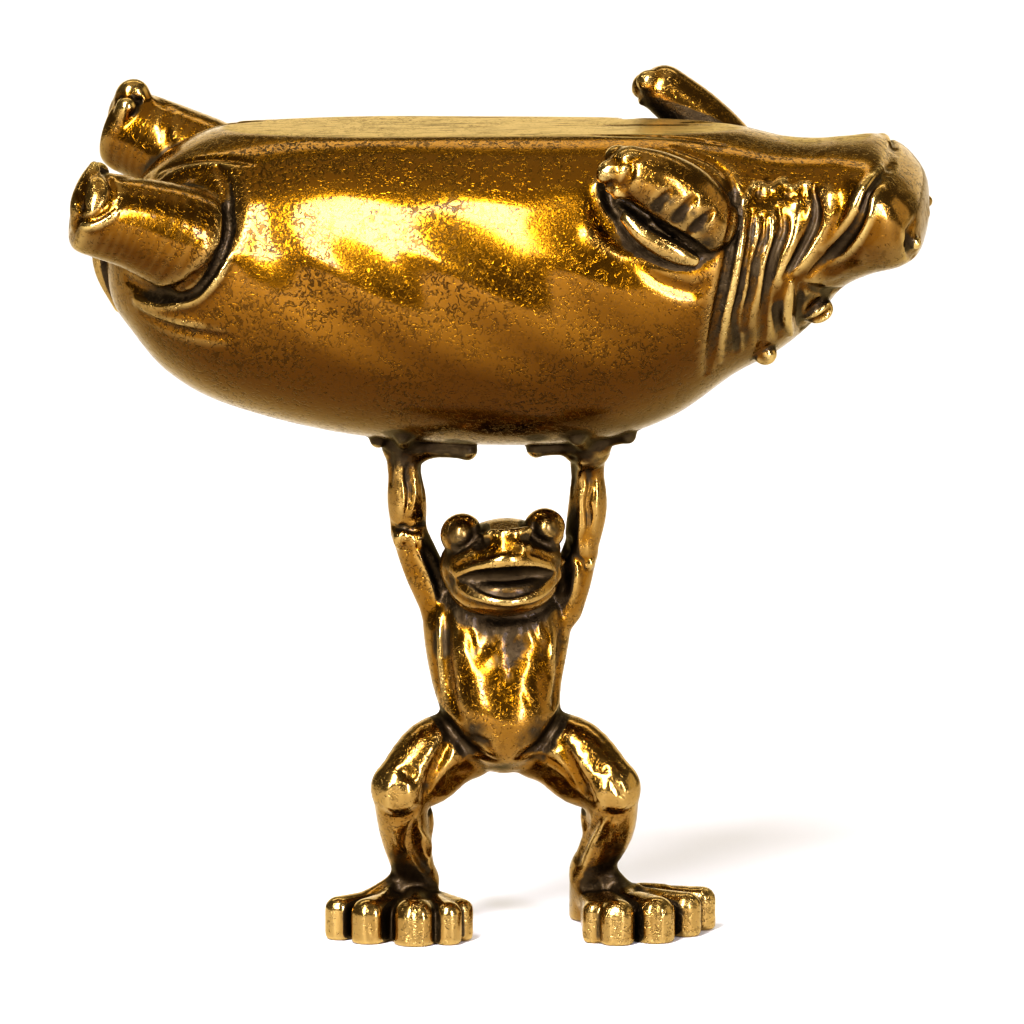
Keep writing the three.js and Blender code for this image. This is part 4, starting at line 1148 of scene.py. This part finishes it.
wear = {
    # Where the polishing wheel missed the patina
    "stains": [
        (1.25, 0.75, (458, 533)), (1.25, 0.75, (547, 529)), (0.9, 0.8, (448, 560)), (0.9, 0.8, (560, 560)),
        (0.7, 0.8, (482, 547)), (0.7, 0.7, (540, 543)), (0.9, 0.7, (450, 585)), (1, 0.8, (562, 590)),
        (1.9, 0.9, (500, 584)), (1.2, 0.9, (478, 588)), (1.4, 0.9, (525, 584)), (0.8, 0.7, (458, 616)),
        (0.9, 0.7, (478, 613)), (1.1, 0.8, (500, 620)), (0.9, 0.9, (512, 632)), (0.8, 0.9, (516, 648)),
        (0.6, 0.8, (512, 662)), (0.4, 0.7, (509, 676)), (0.9, 0.7, (530, 622)), (1, 0.7, (548, 618)),
        (0.7, 0.5, (540, 648)), (0.5, 0.6, (488, 640)), (0.35, 0.6, (478, 650)), (0.5, 0.6, (495, 662)),
        (0.3, 0.5, (470, 664)), (1.2, 0.6, (444, 640)), (1, 0.6, (560, 640)), (0.8, 1.5, (400, 438)),
        (0.8, 1.5, (578, 438)), (0.8, 1.5, (629, 438)), (0.7, 1.3, (376, 441)), (0.7, 1.3, (458, 442)),
        (0.7, 1.3, (536, 438)), (0.5, 1.3, (656, 209)), (0.6, 1.3, (678, 219)), (0.6, 1.3, (696, 228)),
        (0.7, 1, (704, 248)), (0.4, 0.8, (668, 207)), (0.4, 0.8, (689, 217)), (0.7, 0.9, (799, 300)),
        (0.7, 0.9, (806, 326)), (0.5, 0.8, (822, 294)), (0.6, 0.9, (776, 310)), (1.2, 0.5, (742, 290)),
        (1.2, 0.4, (760, 270)), (1.2, 0.7, (738, 340)), (0.5, 1, (905, 243)), (1.6, 0.85, (400, 452)),
        (1.7, 0.85, (455, 454)), (1.8, 0.85, (586, 450)), (1.3, 0.85, (545, 447)), (1.3, 0.8, (620, 442)),
        (0.8, 0.5, (420, 475)), (0.9, 0.6, (572, 475)), (1.3, 0.8, (475, 735)), (1.5, 0.8, (535, 738)),
        (1.2, 0.7, (500, 768)), (0.7, 0.5, (425, 790)), (0.8, 0.5, (590, 798)), (1.6, 0.85, (415, 890)),
        (1, 0.7, (440, 893)), (1.6, 0.7, (595, 890)), (1.5, 0.7, (625, 882)), (0.6, 0.9, (349, 922)),
        (0.6, 0.9, (390, 925)), (0.6, 0.9, (440, 925)), (0.5, 0.8, (597, 925)), (0.6, 0.9, (636, 922)),
        (0.5, 0.8, (676, 918)), (0.8, 0.5, (430, 855)), (0.8, 0.5, (578, 860)), (1, 0.4, (397, 855)),
        (1.1, 0.4, (615, 845)),
    ],
    # Where the casting is pitted
    "pits": [
        (2, 1.1, (262, 178)), (1.9, 1.2, (248, 205)), (2.1, 1.2, (275, 232)), (2, 0.8, (305, 158)),
        (2, 0.9, (312, 275)), (2, 0.6, (365, 162)), (1.5, 0.7, (436, 200)), (1.7, 0.9, (442, 240)),
        (1.8, 0.8, (455, 275)), (2.4, 0.5, (345, 300)), (2.2, 0.4, (400, 305)), (1.4, 0.7, (215, 250)),
        (2.6, 0.6, (180, 340)), (3, 0.3, (250, 350)), (1.8, 0.5, (520, 290)), (2.2, 0.2, (640, 360)),
        (2.4, 0.3, (760, 150)), (3, 0.35, (430, 390)), (3, 0.3, (560, 395)), (1.2, 0.5, (480, 690)),
    ],
    "ridgeSize": 0.45,
    "roundedSize": 1.8,
    # lift from the surface and size of the hollows that hold patina
    "fineHollow": (0.3, 0.35),
    "broadHollow": (0.9, 0.9),
    "wideHollow": (2.2, 2.2),
    # heights and shares: ridges are rubbed less down the frog, and the patina between its toes is thin
    "rubbing": ((16, 18, 24, 25), (1, 0.65, 0.65, 0.5)),
    "toePatina": ((2.3, 3.0), (0.65, 1)),
    "hippoHeight": 24,  # everything over it is the hippo
    "hippoRidges": 25,  # and its ridges are rubbed fully from here
    "flatHeight": 40,
    "shadeFrom": (0.16, 1.3, 0.8),  # share of painted shade on an upright face of the hippo, its growth underneath, and its limit
    "filedFrom": 0.985,
}


def wearMarks(clay, place, outward):
    # Patina gathers where brass stands over the surface, and ridges are rubbed bright
    height = place[:, 2]
    rubbing = np.interp(height, *wear["rubbing"])
    kept = np.interp(height, *wear["toePatina"])
    upright, growth, limit = wear["shadeFrom"]

    def hollow(name):
        lift, size = wear[name]
        return 2 * brassAround(clay, place + outward * lift, size)

    return {
        "ridge": (1 - 2 * brassAround(clay, place, wear["ridgeSize"]))
        * np.where(height < wear["hippoRidges"], rubbing, 1),
        "rounded": (1 - 2 * brassAround(clay, place, wear["roundedSize"])) * rubbing,
        "fineHollow": hollow("fineHollow"),
        "broadHollow": hollow("broadHollow") * kept,
        "wideHollow": hollow("wideHollow") * kept,
        "stain": spotted(clay, place, wear["stains"]),
        "pitted": spotted(clay, place, wear["pits"]),
        # painted shade: darker on the hippo's faces that look down
        "undersideShade": np.clip(upright - outward[:, 2] * growth, 0, limit) * (height > wear["hippoHeight"]),
        "filed": np.clip((outward[:, 2] - wear["filedFrom"]) / 0.01, 0, 1) * (height > wear["flatHeight"]),
    }


def buildCasting():
    offset = np.array([*middle, 0])
    low, high = np.array(cadBox[0]) / mm + offset, np.array(cadBox[1]) / mm + offset
    clay = Clay(low - casting["margin"], high + casting["margin"], casting["pitch"])
    print("clay grid", clay.count)
    frogForms(clay)
    hippoForms(clay)
    # The soles stand flat on the floor
    block, (x, y, z) = clay.window(clay.low, (15, 12, 1.5))
    clay.keepWithin(block, -z, casting["soleEdge"])
    points, faces = surfaceNet(clay)
    points = clay.ontoSurface(points, 2)
    print("surface", len(points), "points")
    obj = meshFrom("brass_figurine", points, faces)
    thinned(obj, casting["triangles"])
    mesh = obj.data
    place = np.empty(len(mesh.vertices) * 3, np.float32)
    mesh.vertices.foreach_get("co", place)
    place = clay.ontoSurface(place.reshape(-1, 3).astype(float), 3)
    slope = clay.slope(place)
    outward = slope / np.maximum(np.linalg.norm(slope, axis=1, keepdims=True), 1e-6)
    for label, values in wearMarks(clay, place, outward).items():
        attribute = mesh.attributes.new(label, "FLOAT", "POINT")
        attribute.data.foreach_set("value", values.astype(np.float32))
        print(label, [round(float(v), 2) for v in np.percentile(values, (1, 25, 50, 75, 90, 99))])
    mesh.vertices.foreach_set("co", ((place - offset) * mm).astype(np.float32).ravel())
    mesh.polygons.foreach_set("use_smooth", np.ones(len(mesh.polygons), bool))
    mesh.update()
    print("casting", len(mesh.polygons), "faces")
    return obj


# Shader maths as expressions

class Socket:
    def __init__(self, tree, socket):
        self.tree, self.socket = tree, socket

    def setTo(self, value):
        # Links another socket to this input, or sets it to a constant
        if isinstance(value, Socket):
            self.tree.links.new(value.socket, self.socket)
        else:
            self.socket.default_value = value

    def maths(self, operation, *values, clamp=False):
        node = self.tree.nodes.new("ShaderNodeMath")
        node.operation = operation
        node.use_clamp = clamp
        for place, value in zip(node.inputs, (self,) + values):
            Socket(self.tree, place).setTo(value)
        return Socket(self.tree, node.outputs[0])

    def __add__(self, other):
        return self.maths("ADD", other)

    __radd__ = __add__

    def __mul__(self, other):
        return self.maths("MULTIPLY", other)

    __rmul__ = __mul__

    def __sub__(self, other):
        return self.maths("SUBTRACT", other)

    def __rsub__(self, other):
        return (self * -1).maths("ADD", other)

    def most(self, other):
        return self.maths("MAXIMUM", other)

    def within(self):
        return self.maths("ADD", 0.0, clamp=True)

    def between(self, low, high):
        # 0 at low and 1 at high, in a straight line
        return ((self - low) * (1 / (high - low))).within()


class Surface:
    # A material's nodes
    def __init__(self, name):
        self.material = bpy.data.materials.new(name)
        self.material.use_nodes = True
        self.tree = self.material.node_tree
        self.tree.nodes.clear()

    def node(self, kind, settings=None, output=0, **values):
        # Inputs are set by name, or by number where the value is called i and that number
        made = self.tree.nodes.new(kind)
        for name, value in (settings or {}).items():
            setattr(made, name, value)
        for name, value in values.items():
            key = int(name[1:]) if name[0] == "i" and name[1:].isdigit() else name.replace("_", " ")
            Socket(self.tree, made.inputs[key]).setTo(value)
        return None if output is None else Socket(self.tree, made.outputs[output])

    def attribute(self, name):
        return self.node("ShaderNodeAttribute", {"attribute_name": name}, output="Fac")

    def finished(self, **values):
        shader = self.node("ShaderNodeBsdfPrincipled", **values)
        self.node("ShaderNodeOutputMaterial", output=None, Surface=shader)
        return self.material

    def mixed(self, share, first, second):
        return self.node("ShaderNodeMix", {"data_type": "RGBA"}, output=2, i0=share, i6=first, i7=second)


finish = {
    "brass": (0.188, 0.086, 0.003, 1),
    "wornBrass": (0.56, 0.41, 0.15, 1),
    # painted shade: the dark brown that the hippo's downward faces are mixed towards
    "shadedBrass": (0.042, 0.0125, 0.0003, 1),
    "patina": (0.030, 0.021, 0.011, 1),
    "greyPatina": (0.060, 0.043, 0.021, 1),
    "pitColour": (0.035, 0.018, 0.004, 1),
    "edgeTint": (1.0, 0.88, 0.6, 1),
    "roughness": 0.2,
    "patinaRoughness": 0.46,
    "filedRoughness": 0.42,
    "pitRoughness": 0.15,  # added in the pits
    "coat": 0.24,
    "coatRoughness": 0.11,
    "noises": {  # size in metres, detail, roughness, distortion, offset and stretch
        "cloud": (0.006, 3.0, 0.6, 0.0, 0.0, (1, 1, 1)),
        "worm": (0.00034, 1.0, 0.5, 0.9, 0.013, (1, 1, 1)),
        "breaks": (0.000442, 1.0, 0.5, 0.0, 0.037, (1, 1, 1)),
        "specks": (0.0002, 1.0, 0.5, 0.8, 0.031, (1, 1, 1)),
        "blotch": (0.0009, 3.0, 0.65, 0.4, 0.021, (1, 1, 1)),
        "dimples": (0.0016, 1.0, 0.5, 0.0, 0.047, (1, 1, 1)),
        "streaks": (0.0002, 2.0, 0.6, 0.0, 0.053, (0.08, 1, 1)),
    },
    # where each mark or noise begins to count, and where it counts fully
    "ramps": {
        "fine": (0.27, 0.6),
        "broad": (0.1, 0.45),
        "wide": (0.24, 0.8),
        "raised": (0.0, 0.4),
        "ragged": (0.25, 0.7),
        "patches": (0.42, 0.62),
        "lines": (0.03, 0.07),
        "breaks": (0.46, 0.51),
        "dots": (0.28, 0.35),
        "scratches": (0.33, 0.45),
        "ridge": (0.03, 0.35),
        "rounded": (0.28, 0.8),
        "soot": (0.38, 0.72),
        "bumps": (0.25, 0.6),
    },
    "reliefDepth": 0.00002,
}


def brassMaterial():
    surface = Surface("aged brass")
    place = surface.node("ShaderNodeTexCoord", output="Object")
    ridge, rounded, stain, pitted, undersideShade, filed = map(
        surface.attribute, ("ridge", "rounded", "stain", "pitted", "undersideShade", "filed")
    )
    fine, broad, wide = map(surface.attribute, ("fineHollow", "broadHollow", "wideHollow"))

    def noise(name):
        size, detail, rough, distortion, offset, stretch = finish["noises"][name]
        location = (offset, offset * 0.7, -offset)
        moved = surface.node("ShaderNodeMapping", i0=place, Location=location, Scale=stretch)
        return surface.node("ShaderNodeTexNoise", i0=moved, Scale=1 / size, Detail=detail, Roughness=rough,
                            Distortion=distortion)

    cloud, worm, breaks, specks, blotch, dimples, streaks = map(noise, finish["noises"])

    # Hollows hold patina, and raised places are rubbed bright
    ramps = finish["ramps"]
    hollow = fine.between(*ramps["fine"]) + broad.between(*ramps["broad"])
    hollow += wide.between(*ramps["wide"]) * 0.7 + stain * 0.95
    ragged = (hollow + (blotch - 0.5) - ridge.between(*ramps["raised"]) * 0.5).between(*ramps["ragged"])
    # Worm-like pits in patches: the lines where a noise crosses its middle, broken by another
    patches = (cloud.between(*ramps["patches"]) * 0.6 + pitted + 0.12).within()
    lines = 1 - (worm - 0.5).maths("ABSOLUTE").between(*ramps["lines"])
    worms = lines * (breaks + pitted * 0.16).between(*ramps["breaks"]) * patches
    dots = (1 - (specks - pitted * 0.04).between(*ramps["dots"])) * 0.8
    scratches = (1 - streaks.between(*ramps["scratches"])) * filed
    marked = worms.most(dots).most(scratches)
    worn = (ridge.between(*ramps["ridge"]) * 0.7).most(rounded.between(*ramps["rounded"]) * 0.7)

    # Painted shade: the brass darkens to brown on the hippo's faces that look down
    metal = surface.mixed(undersideShade * 0.9, finish["brass"], finish["shadedBrass"])
    rubbed = surface.mixed(worn.most(filed * 0.85), metal, finish["wornBrass"])
    marred = surface.mixed(marked * (1 - worn * 0.7) * 0.82, rubbed, finish["pitColour"])
    soot = surface.mixed(blotch.between(*ramps["soot"]), finish["patina"], finish["greyPatina"])
    colour = surface.mixed(ragged * 0.95, marred, soot)
    rough = (
        finish["roughness"]
        + ragged * (finish["patinaRoughness"] - finish["roughness"])
        + filed * (finish["filedRoughness"] - finish["roughness"])
        + marked * finish["pitRoughness"]
        + (cloud - 0.5) * 0.1
    )
    relief = worms * -2.4 + specks.between(*ramps["bumps"]) * 0.2 + blotch * 0.5 + dimples * 1.2
    relief += streaks * filed * 0.6
    normal = surface.node("ShaderNodeBump", Strength=0.6, Distance=finish["reliefDepth"], Height=relief)
    # The pale coat stays off patina, pits, the painted shade underneath and the flat
    gloss = (1 - ragged * 0.8) * (1 - marked * 0.8) * (1 - undersideShade * 0.6) * (1 - filed * 0.9)
    return surface.finished(
        Base_Color=colour, Metallic=1.0, Roughness=rough, Normal=normal,
        Coat_Weight=gloss * finish["coat"],
        Coat_Roughness=finish["coatRoughness"], Specular_Tint=finish["edgeTint"],
    )


studio = {
    "floorColour": (0.80, 0.76, 0.66, 1),
    "floorRoughness": 0.6,
    "floorSize": 6.0,
    "world": (1.0, 0.93, 0.80, 1),
    "worldStrength": 0.18,
    # place, aim, size in metres, power in watts and colour of each soft box
    "lights": [
        ("key light", (-0.145, -0.325, 0.29), (0, 0, 0.028), (0.115, 0.42), 4.3, (0.95, 1.0, 1.3)),
        ("fill light", (0.22, -0.34, 0.135), (0, 0, 0.028), (0.06, 0.26), 1.3, (0.95, 1.0, 1.4)),
        ("top light", (0.0, 0.02, 0.6), (0, 0, 0.03), (0.5, 0.36), 0.3, (1.0, 0.93, 0.8)),
        ("back light", (0.0, 1.1, 0.3), (0, 0, 0.028), (1.6, 0.5), 2.8, (1.0, 0.97, 0.92)),
        ("side light", (0.75, 0.1, 0.25), (0, 0, 0.03), (0.6, 0.5), 0.9, (1.0, 0.93, 0.8)),
        ("backdrop light", (0.0, 0.6, 0.9), (0, 1.2, 0), (1.2, 0.5), 5.5, (1.0, 0.99, 0.97)),
    ],
    "transform": "Standard",
    "contrast": "High Contrast",
}


def lookAlong(direction):
    return Vector(direction).to_track_quat("-Z", "Y").to_euler()


def buildStudio():
    corners = np.array([(-1, -1, 0), (1, -1, 0), (1, 1, 0), (-1, 1, 0)]) * studio["floorSize"] / 2
    floor = meshFrom("floor", corners, np.array([[0, 1, 2, 3]]))
    floor.data.materials.append(
        Surface("pale floor").finished(Base_Color=studio["floorColour"], Roughness=studio["floorRoughness"])
    )
    world = bpy.data.worlds.new("studio")
    bpy.context.scene.world = world
    world.use_nodes = True
    background = world.node_tree.nodes["Background"]
    background.inputs[0].default_value = studio["world"]
    background.inputs[1].default_value = studio["worldStrength"]
    for name, place, aim, size, power, colour in studio["lights"]:
        data = bpy.data.lights.new(name, "AREA")
        data.shape = "RECTANGLE"
        data.size, data.size_y = size
        data.energy = power
        data.color = colour
        light = shownAs(name, data)
        light.location = place
        light.rotation_euler = lookAlong(np.array(aim) - place)


def buildCamera():
    elevation = degrees(view["elevation"])
    across, height = view["aim"]
    aim = np.array([(across - middle[0]) * mm, -middle[1] * mm, height * mm / math.cos(elevation)])
    back = np.array([0, -math.cos(elevation), math.sin(elevation)])
    data = bpy.data.cameras.new("camera")
    data.sensor_width = view["sensor"]
    data.lens = view["sensor"] * view["distance"] / (view["width"] * mm)
    data.clip_start, data.clip_end = view["nearest"], view["farthest"]
    camera = shownAs("camera", data)
    camera.location = aim + back * view["distance"]
    camera.rotation_euler = lookAlong(-back)
    bpy.context.scene.camera = camera


figure = buildCasting()
figure.data.materials.clear()
figure.data.materials.append(brassMaterial())
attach(figure, "root")
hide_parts("frog_lifting_hippo")

buildStudio()
buildCamera()
bpy.context.scene.view_settings.view_transform = studio["transform"]
bpy.context.scene.view_settings.look = studio["contrast"]
print("studio and camera ready")
